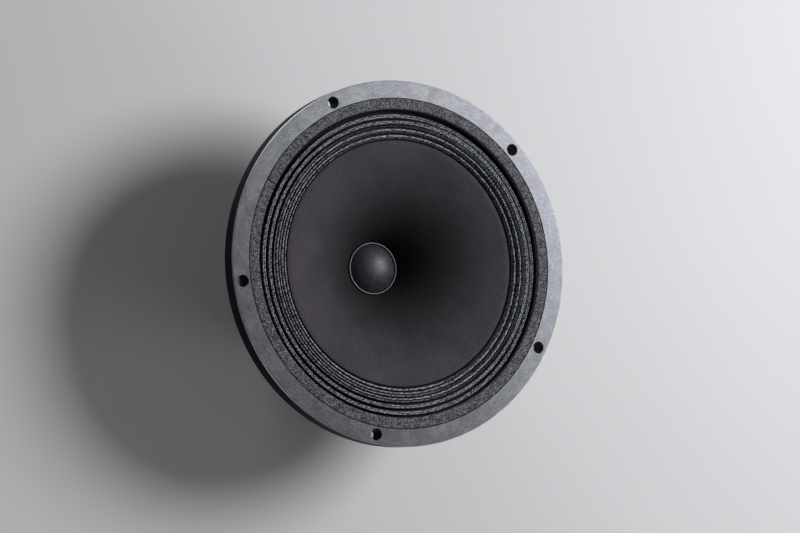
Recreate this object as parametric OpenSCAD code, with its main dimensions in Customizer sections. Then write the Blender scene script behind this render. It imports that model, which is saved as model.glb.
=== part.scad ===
// Full-range speaker driver with a cast frame, a pleated cloth surround and a ferrite motor.
// Z is the driver's axis, and the cone faces +Z. The origin is the centre of the flange's rear face.
// Depths are measured back from the flange's front face.

/* [Flange] */
// Outer diameter of the flange
flange_d = 208; // [180:1:240]
// Thickness of the flange, front face to seating face
flange_t = 11.2; // [8:0.1:15]
// Width of the seat that lies on the baffle, outside the spigot
seat_w = 12.5; // [11:0.5:14]
// Depth of the spigot's rear edge below the front face
spigot_depth = 20; // [17:0.5:24]
// Distance of the screw holes' centres from the flange's edge
bolt_inset = 5.5; // [4.8:0.1:6]
// Diameter of each screw hole
bolt_d = 6.4; // [4:0.1:6.8]
// Width of the chamfer at each screw hole's mouth
bolt_chamfer = 0.3; // [0.2:0.05:0.7]
// Number of screw holes and of frame legs
bolt_count = 5; // [4:1:8]
// Chamfer on the flange's front outer edge
edge_chamfer = 0.4; // [0.2:0.1:1]

/* [Frame] */
// Width of each leg
leg_w = 20; // [12:1:24]
// Wall thickness of the legs
leg_t = 4.5; // [3:0.1:6]
// Width of the stiffening rib on each leg
rib_w = 5; // [3:0.5:8]
// Height of the rib behind the leg
rib_h = 7; // [4:0.5:9]
// Thickness of the frame's floor, which is screwed to the motor
floor_t = 5; // [4:0.1:7]
// Diameter of the opening in the floor
floor_hole_d = 56; // [44:1:62]
// Width of the floor outside the spider's ring
floor_rim = 4.5; // [3:0.1:6]
// Height of the spider's landing above the floor
landing_h = 3.7; // [3:0.1:5]

/* [Gasket] */
// Width of the bare face outside the felt ring
face_w = 10; // [9.3:0.1:11.5]
// Width of the felt ring
felt_w = 6.3; // [5:0.1:8]
// Thickness of the felt ring
gasket_t = 3.3; // [2:0.1:4.5]
// Width of the slit where the felt strip's ends meet
slit_w = 0.4; // [0.2:0.1:1]

/* [Surround] */
// Width of the surround from the cone's edge to the felt ring
surround_w = 17.7; // [15:0.1:21]
// Thickness of the treated cloth
cloth_t = 0.4; // [0.3:0.02:0.46]
// Number of folds towards the back
valley_count = 6; // [4:1:7]
// Depth of the crests
crest_depth = 1.4; // [1:0.1:1.8]
// Distance from the cone's edge to the first fold
inner_lap = 1.2; // [1:0.1:2]
// Distance from the last fold to the felt ring
outer_lap = 2.1; // [1.8:0.1:3]

/* [Cone] */
// Depth of the cone's edge
cone_depth = 3.1; // [2.6:0.1:3.8]
// Thickness of the paper
cone_t = 0.8; // [0.5:0.05:1.1]
// Width of the flat rim that the cloth is glued under
rim_w = 2; // [1.5:0.1:3]
// Depth at which the cone's front meets the voice coil's tube
neck_depth = 41.4; // [36:0.1:47]
// Length of the neck that is glued to the tube
neck_len = 3; // [2:0.1:4]
// Half of the angle that the curved flare turns through
flare_angle = 20; // [14:0.5:23]

/* [Dust cap] */
// Height of the ring around the cap, which the cone's neck ends behind
ring_h = 1.4; // [1.3:0.1:2.5]
// Wall of the ring
ring_wall = 0.65; // [0.5:0.05:0.9]
// Thickness of the ring's front lip
ring_lip = 1; // [0.6:0.1:1.1]
// Height of the domed cap above its seat
cap_h = 6.6; // [5:0.1:8]
// Thickness of the cap
cap_t = 0.5; // [0.3:0.05:0.8]

/* [Voice coil] */
// Inner diameter of the tube
tube_d = 28.6; // [27:0.1:29.6]
// Wall of the tube
tube_t = 0.25; // [0.2:0.05:0.4]
// Thickness of the paper collar round the tube
collar_t = 0.4; // [0.3:0.05:0.6]
// Thickness of the winding
coil_t = 0.7; // [0.5:0.05:0.9]
// Length of the winding
coil_len = 12; // [8:0.1:14]

/* [Spider] */
// Distance from the solder pads to the spider's mid-line
spider_drop = 2.8; // [2.4:0.1:5]
// Outer diameter of the spider
spider_d = 111; // [98:0.5:118]
// Number of rolls
spider_rolls = 5; // [4:1:6]
// Height of the rolls to each side of the mid-line
spider_roll_h = 1.2; // [0.8:0.1:1.5]
// Thickness of the spider's cloth
spider_t = 0.4; // [0.3:0.02:0.6]
// Length of the spider's neck on the collar
spider_neck = 3; // [2:0.1:3.6]
// Thickness of the ring that carries the spider
spider_ring_t = 1.6; // [1:0.1:2.2]
// Width of that ring
spider_ring_w = 8; // [6:0.5:9]

/* [Motor] */
// Diameter of the top plate
top_plate_d = 110; // [106:1:118]
// Thickness of the top plate
top_plate_t = 6; // [5:0.1:8]
// Diameter of the magnet
magnet_d = 120; // [112:1:122]
// Diameter of the magnet's hole
magnet_hole_d = 57; // [50:1:62]
// Thickness of the magnet
magnet_t = 20; // [18:0.5:24]
// Diameter of the back plate
back_plate_d = 112; // [104:1:118]
// Thickness of the back plate
back_plate_t = 8; // [6:0.5:10]
// Chamfer round the back plate's rear edge
plate_chamfer = 1.2; // [0.5:0.1:2.5]
// Height of the pole above the top plate, without its copper cap
pole_rise = 1.5; // [0.5:0.1:3]
// Diameter of the pole's spigot in the back plate
pole_spigot_d = 21; // [18.5:0.5:24]
// Diameter of the vent through the pole
vent_d = 12; // [8:0.5:14]
// Wall of the copper cap on the pole
copper_t = 0.5; // [0.3:0.05:0.8]
// Length of the copper cap
copper_len = 10; // [8:0.5:14]
// Air gap on each side of the winding
air_gap = 0.45; // [0.35:0.05:0.7]
// Diameter of the vent's screen
screen_d = 16; // [15:0.5:17.5]
// Thickness of the screen
screen_t = 0.8; // [0.5:0.1:1.2]

/* [Screws] */
// Diameter of the motor screws
screw_d = 5; // [4:0.5:6]
// Diameter of their countersunk heads
screw_head_d = 9.2; // [8.5:0.1:10]
// Circle that the motor screws lie on
screw_pcd = 82; // [74:0.5:90]
// Width across the flats of their hexagon sockets
socket_w = 3; // [2.5:0.5:3.5]

/* [Terminals] */
// Height of the terminal board
board_h = 22; // [20:0.5:26]
// Thickness of the terminal board
board_t = 1.6; // [1.2:0.1:2]
// Distance of the board's front edge behind the spigot
board_gap = 2; // [1:0.5:4]
// Distance of the bracket's inner face from the spigot's outside
bracket_inset = 8; // [7.5:0.1:9.5]
// Thickness of the bracket
bracket_t = 3; // [2:0.1:3.5]
// Width of the bracket
bracket_w = 40; // [36:0.5:44]
// Width of the bars beside the bracket's window
bar_w = 8; // [6:0.5:8.5]
// Distance of the rivets from the board's front edge
rivet_drop = 9; // [8:0.5:11]
// Distance of the tags' ends from the board's front edge
tag_drop = 5; // [3:0.5:6]
// Distance between the two tags
tag_gap = 16; // [14:0.5:18]
// Width of the positive tag
tag_pos_w = 6.3; // [5.5:0.1:7]
// Width of the negative tag
tag_neg_w = 4.8; // [4.2:0.1:6]
// Thickness of the tags
tag_t = 0.8; // [0.6:0.05:1]
// Length of the tags
tag_len = 27; // [24:0.5:30]
// Diameter of the rivets that hold the tags
tag_rivet_d = 2.4; // [2:0.1:2.8]
// Diameter of the rivets that hold the board
board_rivet_d = 3; // [2.5:0.1:3.5]
// Diameter of the braided leads
lead_d = 1.6; // [1.2:0.1:2]
// Sag of the leads between the board and the pads
lead_sag = 2; // [1:0.1:3]
// Angle of the solder pads from the terminals' side
pad_turn = 25; // [20:1:32]
// Thickness of the solder pads
pad_t = 1.2; // [0.8:0.1:1.4]
// Size of the solder pads along the axis
pad_h = 2.4; // [2:0.1:3]
// Distance of the solder pads from the cone's neck
pad_gap = 1.1; // [0.8:0.1:2]

/* [Hidden] */
$fn = 96;
// Clearance of glued and pressed fits
fit = 0.05;
// Small overlap of bodies that are joined into one solid
bite = 0.01;
// Distance between the ring round the cap and the front of the cone's neck
neck_gap = 0.3;
// Width of the ring's lip inside the tube
ring_seat_w = 0.4;
// Distance between the collar and the winding
collar_gap = 0.4;
// Length of the tube behind the winding
tube_tail = 1;
// Clearance round the spider's ring
ring_gap = 0.4;
// Width of the solder pads
pad_w = 3;
// Height of the leg's root inside the spigot
leg_root = 4;
// Distance of the wire holes from the ends of the tags
tag_hole_edge = 4;

// Radii of the front
flange_r = flange_d / 2;
spigot_r = flange_r - seat_w;
bolt_r = flange_r - bolt_inset;
gasket_r = flange_r - face_w;
gasket_hole_r = gasket_r - felt_w;
recess_r = gasket_r + fit;
throat_r = gasket_hole_r - 0.5;
recess_depth = gasket_t + cloth_t;
cone_r = gasket_hole_r - surround_w;

// Moving parts round the tube
tube_r = tube_d / 2;
tube_out_r = tube_r + tube_t;
collar_r = tube_out_r + fit;
collar_out_r = collar_r + collar_t;
neck_r = collar_out_r + fit;
ring_out_r = tube_out_r + fit + ring_wall;
ring_in_r = tube_r - ring_seat_w;
ring_depth = neck_depth - neck_gap - ring_h;
coil_r = tube_out_r + fit;
coil_out_r = coil_r + coil_t;
tube_top = ring_depth + ring_lip;
collar_depth = ring_depth + ring_h;
cap_r = ring_in_r - fit;

// Depths along the axis, from the cone's neck back to the motor
pad_depth = neck_depth + neck_len + pad_gap + pad_h / 2;
spider_depth = pad_depth + pad_h / 2 + spider_drop;
landing_depth = spider_depth + spider_t / 2 + spider_ring_t;
floor_depth = landing_depth + landing_h;
motor_depth = floor_depth + floor_t;
pole_depth = motor_depth - pole_rise;
coil_depth = motor_depth + (top_plate_t - coil_len) / 2;
collar_len = coil_depth - collar_gap - collar_depth;
tube_bottom = coil_depth + coil_len + tube_tail;

// Motor
pole_r = tube_r - air_gap - copper_t - fit;
copper_r = pole_r + fit;
bore_r = coil_out_r + air_gap;
magnet_depth = motor_depth + top_plate_t;
back_depth = magnet_depth + magnet_t;
rear_depth = back_depth + back_plate_t;
spigot_hole_r = pole_spigot_d / 2 + fit;
screen_r = screen_d / 2;

// Spider and its landing
spider_r = spider_d / 2;
spider_ring_r = spider_r + 0.5;
spider_ring_in_r = spider_ring_r - spider_ring_w;
spider_flat_r = spider_ring_in_r - 0.5;
floor_r = spider_ring_r + floor_rim;
landing_r = spider_ring_in_r - 0.5;

// Screws and terminals
leg_step = 360 / bolt_count;
leg_turn = leg_step / 2 - 90;
screw_turn = leg_turn + leg_step / 2;
screw_head_h = (screw_head_d - screw_d) / 2;
screw_len = floor_t + top_plate_t - 1;
bracket_y = spigot_r - bracket_inset;
bracket_root = 4;
board_y = bracket_y + bracket_t;
tag_y = board_y + board_t;
board_depth = spigot_depth + board_gap;
board_foot = board_depth + board_h;
board_w = bracket_w - 2;
rivet_depth = board_depth + rivet_drop;
tag_depth = board_depth + tag_drop;
lead_hole_edge = 7;
lead_hole_depth = board_foot - lead_hole_edge;
window_edge = 3.5;
window_w = bracket_w - 2 * bar_w;
board_rivet_x = (bracket_w - bar_w) / 2;
rivet_head_t = 0.8;
slit_turn = 126.6;

// Height above the seating face of a point at this depth
function up(depth) = flange_t - depth;

module at_depth(depth) {
    translate([0, 0, up(depth)]) children();
}

// Ring between two depths
module ring(r, hole_r, depth, t) {
    at_depth(depth + t)
        difference() {
            cylinder(r = r, h = t);
            translate([0, 0, -1]) cylinder(r = hole_r, h = t + 2);
        }
}

// Copies round the axis, from one angle on
module round_axis(count, turn) {
    for (i = [0 : count - 1]) rotate(turn + i * 360 / count) children();
}

// Rod along -Y from one distance to another, at this depth
module rod_y(x, depth, d, y_from, y_to) {
    translate([x, -y_from, up(depth)]) rotate([90, 0, 0]) cylinder(d = d, h = y_to - y_from);
}

// Solid of revolution from points of radius and depth
module turned(points) {
    rotate_extrude() polygon([for (p = points) [p[0], up(p[1])]]);
}

// Both sides of a strip of thickness t along a mid-line of radius and depth points
function side(line, t) = [for (i = [0 : len(line) - 1])
    let (a = line[max(i - 1, 0)], b = line[min(i + 1, len(line) - 1)], d = b - a, l = norm(d))
    line[i] + [-d[1], d[0]] * t / 2 / l];
function reversed(list) = [for (i = [len(list) - 1 : -1 : 0]) list[i]];
function strip(line, t) = concat(side(line, t), reversed(side(line, -t)));

// Flange, spigot and ledge of the frame in one profile
module frame_front() {
    turned([
        [flange_r, flange_t], [flange_r, edge_chamfer], [flange_r - edge_chamfer, 0], [recess_r, 0],
        [recess_r, recess_depth], [throat_r, recess_depth], [throat_r, spigot_depth],
        [spigot_r, spigot_depth], [spigot_r, flange_t]
    ]);
}

module frame_floor() {
    hole_r = floor_hole_d / 2;
    turned([
        [hole_r, motor_depth], [hole_r, floor_depth], [landing_r, floor_depth],
        [landing_r, landing_depth], [floor_r, landing_depth], [floor_r, motor_depth]
    ]);
}

// One leg with its rib, along +X
module frame_leg() {
    wall_out = spigot_r - 1;
    wall_in = wall_out - leg_t;
    foot_out = floor_r - 1;
    foot_in = foot_out - leg_t;
    rib_out = floor_r + rib_h;
    intersection() {
        turned([
            [wall_out, spigot_depth - leg_root], [wall_out, spigot_depth - 1], [foot_out, landing_depth + 2],
            [foot_out, motor_depth - 2], [foot_in, motor_depth - 2], [foot_in, landing_depth + 1],
            [wall_in, spigot_depth - leg_root + 1], [wall_in, spigot_depth - leg_root]
        ]);
        translate([0, -leg_w / 2, up(motor_depth)]) cube([flange_r, leg_w, motor_depth]);
    }
    translate([0, rib_w / 2, 0]) rotate([90, 0, 0])
        linear_extrude(rib_w) polygon([
            [wall_in + 2, up(spigot_depth - 2)], [wall_out - 1, up(spigot_depth - 2)],
            [wall_out - 1, up(spigot_depth + rib_h)], [rib_out, up(motor_depth - 3)],
            [rib_out, up(motor_depth - 1)], [foot_out - 1, up(motor_depth - 1)],
            [foot_out - 1, up(landing_depth + 3)]
        ]);
}

// Bracket under the spigot that carries the terminal board
module frame_bracket() {
    difference() {
        union() {
            translate([-bracket_w / 2, -board_y, up(board_foot)])
                cube([bracket_w, bracket_t, board_foot - spigot_depth + bracket_root]);
            intersection() {
                translate([-bracket_w / 2, -spigot_r, up(spigot_depth)])
                    cube([bracket_w, bracket_inset, bracket_root]);
                at_depth(spigot_depth) cylinder(r = spigot_r - 1, h = bracket_root);
            }
        }
        translate([-window_w / 2, -board_y - 1, up(board_foot - window_edge)])
            cube([window_w, bracket_t + 2, board_h - 2 * window_edge]);
        for (x = [-board_rivet_x, board_rivet_x])
            rod_y(x, rivet_depth, board_rivet_d + 2 * fit, bracket_y - 1, board_y + 1);
    }
}

module bolt_hole() {
    translate([bolt_r, 0, -1]) cylinder(d = bolt_d, h = flange_t + 2);
    translate([bolt_r, 0, flange_t - bolt_chamfer])
        cylinder(r1 = bolt_d / 2, r2 = bolt_d / 2 + bolt_chamfer + bite, h = bolt_chamfer + bite);
}

module frame() {
    color("dimgray") difference() {
        union() {
            frame_front();
            frame_floor();
            round_axis(bolt_count, leg_turn) frame_leg();
            frame_bracket();
        }
        round_axis(bolt_count, leg_turn) bolt_hole();
        round_axis(bolt_count, screw_turn) screw_space(fit);
        at_depth(landing_depth) cylinder(r = spider_ring_r + ring_gap, h = landing_depth - spigot_depth);
    }
}

// Countersunk screw's outline, grown by a clearance
module screw_space(c) {
    translate([screw_pcd / 2, 0, 0]) {
        at_depth(floor_depth + screw_head_h)
            cylinder(d1 = screw_d + 2 * c, d2 = screw_head_d + 2 * c, h = screw_head_h + bite);
        at_depth(floor_depth + screw_len) cylinder(d = screw_d + 2 * c, h = screw_len);
    }
}

module motor_screw() {
    difference() {
        translate([screw_pcd / 2, 0, 0]) {
            at_depth(floor_depth + screw_head_h)
                cylinder(d1 = screw_d, d2 = screw_head_d, h = screw_head_h);
            at_depth(floor_depth + screw_len) cylinder(d = screw_d, h = screw_len - screw_head_h);
        }
        translate([screw_pcd / 2, 0, 0]) at_depth(floor_depth + screw_head_h)
            cylinder(d = socket_w / cos(30), h = screw_head_h + 1, $fn = 6);
    }
}

module motor_screws() {
    color("black") round_axis(bolt_count, screw_turn) motor_screw();
}

module gasket() {
    color("darkslategray") difference() {
        ring(gasket_r, gasket_hole_r, 0, gasket_t);
        rotate(slit_turn) translate([throat_r - 1, -slit_w / 2, -1]) cube([gasket_r, slit_w, flange_t + 2]);
    }
}

// Mid-line of the surround: a lip under the cone's rim, the folds, and a flange on the frame's ledge
lip_depth = cone_depth + cone_t + cloth_t / 2;
first_valley = cone_r + inner_lap;
last_valley = gasket_hole_r - outer_lap;
fold_pitch = (last_valley - first_valley) / (valley_count - 1);
fold_h = lip_depth - crest_depth - cloth_t / 2;
fold_steps = 10;
fold_line = [for (i = [0 : fold_steps * (valley_count - 1)])
    [first_valley + fold_pitch * i / fold_steps,
        lip_depth - fold_h * (1 - cos(360 * i / fold_steps)) / 2]];
ledge_mid = gasket_t + cloth_t / 2;

module surround() {
    color("dimgray") turned(strip(concat(
        [[cone_r - rim_w + 0.5, lip_depth], [cone_r, lip_depth]],
        fold_line,
        [[last_valley + outer_lap / 3, (lip_depth + ledge_mid) / 2], [throat_r - 0.3, ledge_mid],
            [recess_r - fit, ledge_mid]]
    ), cloth_t));
}

// Arc of the flare from the neck to the rim, moved inwards by t
arc_from = [neck_r, neck_depth];
arc_to = [cone_r - rim_w, cone_depth];
arc_chord = norm(arc_to - arc_from);
arc_r = arc_chord / 2 / sin(flare_angle);
arc_u = (arc_to - arc_from) / arc_chord;
arc_n = [-arc_u[1], arc_u[0]];
arc_centre = (arc_from + arc_to) / 2 + arc_n * arc_r * cos(flare_angle);
arc_steps = 24;
function flare(t) = [for (i = [0 : arc_steps])
    let (a = flare_angle * (2 * i / arc_steps - 1))
    arc_centre + (arc_r - t) * (arc_u * sin(a) - arc_n * cos(a))];

module cone() {
    back = flare(cone_t);
    color("dimgray") turned(concat(
        flare(0),
        [[cone_r, cone_depth], [cone_r, cone_depth + cone_t], [cone_r - rim_w + 0.5, cone_depth + cone_t]],
        [for (i = [arc_steps : -1 : 0]) if (back[i][0] > neck_r + cone_t + 0.2) back[i]],
        [[neck_r + cone_t, neck_depth + cone_t], [neck_r + cone_t, neck_depth + neck_len],
            [neck_r, neck_depth + neck_len]]
    ));
}

// Ring that joins the cap to the front of the tube
module cap_ring() {
    inside = tube_out_r + fit;
    color("silver") turned([
        [ring_in_r, ring_depth], [ring_out_r, ring_depth], [ring_out_r, collar_depth],
        [inside, collar_depth], [inside, tube_top], [ring_in_r, tube_top]
    ]);
}

// Domed cap with a short skirt that sits inside the tube and the ring
module dust_cap() {
    dome_r = (cap_r * cap_r + cap_h * cap_h) / 2 / cap_h;
    color("dimgray") union() {
        intersection() {
            translate([0, 0, up(tube_top) + cap_h - dome_r]) difference() {
                sphere(r = dome_r);
                sphere(r = dome_r - cap_t);
            }
            at_depth(tube_top) cylinder(r = cap_r, h = cap_h + 1);
        }
        ring(cap_r, cap_r - cap_t - 0.1, tube_top - 0.3, 2.3);
    }
}

module coil_tube() {
    color("saddlebrown") ring(tube_out_r, tube_r, tube_top, tube_bottom - tube_top);
}

module coil_collar() {
    color("peru") ring(collar_out_r, collar_r, collar_depth, collar_len);
}

module voice_coil() {
    color("orangered") ring(coil_out_r, coil_r, coil_depth, coil_len);
}

// Mid-line of the spider: a neck on the collar, the rolls, and a flat on its ring
roll_in_r = neck_r + 3;
roll_pitch = (spider_flat_r - roll_in_r) / spider_rolls;
roll_steps = 10;
roll_line = [for (i = [0 : roll_steps * spider_rolls])
    [roll_in_r + roll_pitch * i / roll_steps, spider_depth - spider_roll_h * sin(360 * i / roll_steps)]];

module spider() {
    neck = neck_r + spider_t / 2;
    color("goldenrod") turned(strip(concat(
        [[neck, spider_depth + spider_neck], [neck, spider_depth + 0.5], [neck + 0.5, spider_depth]],
        roll_line,
        [[spider_ring_in_r, spider_depth], [spider_r, spider_depth]]
    ), spider_t));
}

module spider_ring() {
    color("dimgray")
        ring(spider_ring_r, spider_ring_in_r, spider_depth + spider_t / 2, spider_ring_t);
}

module top_plate() {
    color("darkgray") difference() {
        ring(top_plate_d / 2, bore_r, motor_depth, top_plate_t);
        round_axis(bolt_count, screw_turn) translate([screw_pcd / 2, 0, up(magnet_depth) - 1])
            cylinder(d = screw_d + 2 * fit, h = top_plate_t + 2);
    }
}

module magnet() {
    color("black") ring(magnet_d / 2, magnet_hole_d / 2, magnet_depth, magnet_t);
}

module back_plate() {
    r = back_plate_d / 2;
    color("darkgray") turned([
        [spigot_hole_r, rear_depth], [spigot_hole_r, back_depth], [r, back_depth],
        [r, rear_depth - plate_chamfer], [r - plate_chamfer, rear_depth]
    ]);
}

module pole_piece() {
    spigot = pole_spigot_d / 2;
    vent = vent_d / 2;
    seat = screen_r + fit;
    color("darkgray") turned([
        [vent, pole_depth], [pole_r, pole_depth], [pole_r, back_depth], [spigot, back_depth],
        [spigot, rear_depth], [seat, rear_depth], [seat, rear_depth - screen_t - 0.4],
        [vent, rear_depth - screen_t - 0.4]
    ]);
}

module copper_cap() {
    top = pole_depth - copper_t;
    color("chocolate") turned([
        [vent_d / 2, top], [copper_r + copper_t, top], [copper_r + copper_t, top + copper_len],
        [copper_r, top + copper_len], [copper_r, pole_depth], [vent_d / 2, pole_depth]
    ]);
}

module vent_screen() {
    color("dimgray") at_depth(rear_depth - 0.4) cylinder(r = screen_r, h = screen_t);
}

// Board with holes for its rivets, the tags' rivets and the leads
module terminal_board() {
    color("saddlebrown") difference() {
        translate([-board_w / 2, -tag_y, up(board_depth + board_h)]) cube([board_w, board_t, board_h]);
        for (s = [-1, 1]) {
            rod_y(s * board_rivet_x, rivet_depth, board_rivet_d + 2 * fit, board_y - 1, tag_y + 1);
            rod_y(s * tag_gap / 2, rivet_depth, tag_rivet_d + 2 * fit, board_y - 1, tag_y + 1);
            rod_y(s * tag_gap / 2, lead_hole_depth, 2 * lead_d, board_y - 1, tag_y + 1);
        }
    }
}

// Solder tag with a rivet hole, standing out past the board's rear edge
module tag(x, w) {
    difference() {
        translate([x - w / 2, -tag_y - tag_t, up(tag_depth + tag_len)]) cube([w, tag_t, tag_len]);
        rod_y(x, rivet_depth, tag_rivet_d + 2 * fit, tag_y - 1, tag_y + tag_t + 1);
        rod_y(x, tag_depth + tag_len - tag_hole_edge, 1.6, tag_y - 1, tag_y + tag_t + 1);
    }
}

module terminal_positive() {
    color("gold") tag(tag_gap / 2, tag_pos_w);
}

module terminal_negative() {
    color("silver") tag(-tag_gap / 2, tag_neg_w);
}

// Rivet along -Y with a head at each end
module rivet(x, d, y_from, y_to) {
    rod_y(x, rivet_depth, d, y_from - bite, y_to + bite);
    rod_y(x, rivet_depth, d * 1.6, y_from - rivet_head_t, y_from);
    rod_y(x, rivet_depth, d * 1.6, y_to, y_to + rivet_head_t);
}

module tag_rivets() {
    color("gold") for (s = [-1, 1]) rivet(s * tag_gap / 2, tag_rivet_d, board_y, tag_y + tag_t);
}

module board_rivets() {
    color("silver") for (s = [-1, 1]) rivet(s * board_rivet_x, board_rivet_d, bracket_y, tag_y);
}

// Leads: from the back of each tag, through the board, in a slack curve to the collar
pad_r = neck_r + pad_t;
pad_dir = [sin(pad_turn), -cos(pad_turn)];
lead_reach = 6;
lead_start = [tag_gap / 2, 3 - bracket_y, lead_hole_depth + 0.3];
lead_end = [pad_dir[0] * (pad_r + lead_reach), pad_dir[1] * (pad_r + lead_reach), pad_depth - 0.6];
lead_steps = 9;
lead_points = concat(
    [[tag_gap / 2, -tag_y, lead_hole_depth], [tag_gap / 2, 0.5 - bracket_y, lead_hole_depth]],
    [for (i = [0 : lead_steps]) let (t = i / lead_steps)
        lead_start + (lead_end - lead_start) * t + [0, 0, lead_sag * sin(180 * t)]],
    [for (r = [pad_r + lead_reach / 2, pad_r]) [pad_dir[0] * r, pad_dir[1] * r, pad_depth]]
);

// Points half-way along a smooth curve through a list, with the list's own points
function smooth(p) = concat([for (i = [0 : len(p) - 2])
    let (a = p[max(i - 1, 0)], b = p[i], c = p[i + 1], d = p[min(i + 2, len(p) - 1)])
    each [b, (9 * (b + c) - a - d) / 16]], [p[len(p) - 1]]);

// Closed tube of n sides along points, whose rings keep their first corner upwards
module tube(p, d, n) {
    last = len(p) - 1;
    rings = [for (i = [0 : last])
        let (t = p[min(i + 1, last)] - p[max(i - 1, 0)], w = t / norm(t),
            u = cross([0, 0, 1], w) / norm(cross([0, 0, 1], w)), v = cross(w, u))
        each [for (k = [0 : n - 1]) p[i] + d / 2 * (u * cos(360 * k / n) + v * sin(360 * k / n))]];
    polyhedron(rings, concat(
        [[for (k = [n - 1 : -1 : 0]) k]],
        [for (i = [0 : last - 1]) for (k = [0 : n - 1])
            let (a = i * n + k, b = i * n + (k + 1) % n)
            each [[a, b, b + n], [a, b + n, a + n]]],
        [[for (k = [0 : n - 1]) last * n + k]]
    ));
}

module lead(s) {
    tube(smooth([for (p = lead_points) [s * p[0], p[1], up(p[2])]]), lead_d, 8);
}

module lead_positive() {
    color("peru") lead(1);
}

module lead_negative() {
    color("peru") lead(-1);
}

// Solder pads on the collar, where the leads join the winding's wires
module lead_pads() {
    color("silver") for (s = [-1, 1]) intersection() {
        ring(pad_r + 1, neck_r, pad_depth - pad_h / 2, pad_h);
        rotate(s * pad_turn - 90) translate([0, -pad_w / 2, up(pad_depth + pad_h)])
            cube([pad_r, pad_w, 2 * pad_h]);
    }
}

frame();
gasket();
surround();
cone();
cap_ring();
dust_cap();
coil_tube();
coil_collar();
voice_coil();
spider();
spider_ring();
top_plate();
magnet();
back_plate();
pole_piece();
copper_cap();
vent_screen();
motor_screws();
terminal_board();
terminal_positive();
terminal_negative();
tag_rivets();
board_rivets();
lead_positive();
lead_negative();
lead_pads();
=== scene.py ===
from math import asin, atan2, ceil, cos, hypot, pi, radians, sin, sqrt, tau

import bmesh
import bpy
from mathutils import Matrix, Vector, noise
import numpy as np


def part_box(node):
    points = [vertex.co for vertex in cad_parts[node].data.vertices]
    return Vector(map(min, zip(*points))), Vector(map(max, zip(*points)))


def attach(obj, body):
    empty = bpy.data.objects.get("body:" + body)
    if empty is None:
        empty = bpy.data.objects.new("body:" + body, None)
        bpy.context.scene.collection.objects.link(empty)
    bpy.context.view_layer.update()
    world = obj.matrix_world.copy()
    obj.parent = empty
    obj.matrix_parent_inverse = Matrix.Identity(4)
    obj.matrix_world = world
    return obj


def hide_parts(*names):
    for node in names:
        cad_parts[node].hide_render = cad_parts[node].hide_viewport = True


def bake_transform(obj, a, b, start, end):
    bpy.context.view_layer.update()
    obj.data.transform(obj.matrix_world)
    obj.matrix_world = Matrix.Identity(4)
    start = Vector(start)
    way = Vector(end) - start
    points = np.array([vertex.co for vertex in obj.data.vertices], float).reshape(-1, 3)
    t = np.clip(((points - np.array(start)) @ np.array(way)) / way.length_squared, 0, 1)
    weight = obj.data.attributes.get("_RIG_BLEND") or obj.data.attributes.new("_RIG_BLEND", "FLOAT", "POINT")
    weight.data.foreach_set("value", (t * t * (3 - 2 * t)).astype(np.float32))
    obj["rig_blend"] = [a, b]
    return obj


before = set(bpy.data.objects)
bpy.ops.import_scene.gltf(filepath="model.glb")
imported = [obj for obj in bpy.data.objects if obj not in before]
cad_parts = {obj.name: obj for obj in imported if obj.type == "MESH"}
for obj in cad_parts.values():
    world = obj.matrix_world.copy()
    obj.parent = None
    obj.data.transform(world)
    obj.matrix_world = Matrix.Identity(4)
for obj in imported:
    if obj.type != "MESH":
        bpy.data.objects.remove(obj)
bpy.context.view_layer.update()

mm = 0.001
scene = bpy.context.scene
scene.view_settings.view_transform = "Standard"
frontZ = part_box("frame")[1].z
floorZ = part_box("back_plate")[0].z


def linked(name, data):
    thing = bpy.data.objects.new(name, data)
    scene.collection.objects.link(thing)
    return thing


def facing(place, way, axis):
    # matrix that stands at a place with one axis along a direction
    return Matrix.Translation(place) @ way.to_track_quat(axis, "Y").to_matrix().to_4x4()


# Camera, from the photograph's viewing angle

cameraPlace = {
    "position": (-0.5821, 0.1434, 1.2058),
    "right": (0.80548, -0.39841, 0.4388),
    "up": (0.40384, 0.91077, 0.0856),
    "back": (-0.43374, 0.10827, 0.8945),
    "lens": 106.4, "sensorWidth": 36.0, "clipStart": 0.05, "clipEnd": 30,
}


def makeCamera():
    c = cameraPlace
    data = bpy.data.cameras.new("photo_camera")
    data.lens = c["lens"]
    data.sensor_width = c["sensorWidth"]
    data.sensor_fit = "HORIZONTAL"
    data.clip_start = c["clipStart"]
    data.clip_end = c["clipEnd"]
    camera = linked("photo_camera", data)
    turn = Matrix((c["right"], c["up"], c["back"])).transposed()
    camera.matrix_world = Matrix.Translation(c["position"]) @ turn.to_4x4()
    scene.camera = camera


makeCamera()
print("camera placed")


# Material helpers

class Signal:
    # an output of a node; sums and products of signals are nodes of the same owner

    def __init__(self, owner, socket):
        self.owner = owner
        self.socket = socket

    def math(self, operation, *others):
        return addNode(self.owner, "ShaderNodeMath", 0, dict(enumerate((self, *others))), operation=operation)

    def __add__(self, other):
        return self.math("ADD", other)

    def __sub__(self, other):
        return self.math("SUBTRACT", other)

    def __mul__(self, other):
        return self.math("MULTIPLY", other)


def plug(owner, socket, value):
    # links a signal to a socket or sets the socket's value; a plain color is opaque
    if isinstance(value, Signal):
        owner.node_tree.links.new(value.socket, socket)
    else:
        socket.default_value = (*value, 1) if socket.type == "RGBA" else value


def addNode(owner, kind, output, inputs=None, **settings):
    # a new node of a material or world, as the signal of one of its outputs
    node = owner.node_tree.nodes.new(kind)
    for setting, value in settings.items():
        setattr(node, setting, value)
    for socket, value in (inputs or {}).items():
        plug(owner, node.inputs[socket], value)
    return Signal(owner, node.outputs[output])


def toShader(material, **values):
    shader = material.node_tree.nodes["Principled BSDF"]
    for socket, value in values.items():
        plug(material, shader.inputs[socket.replace("_", " ")], value)


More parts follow.
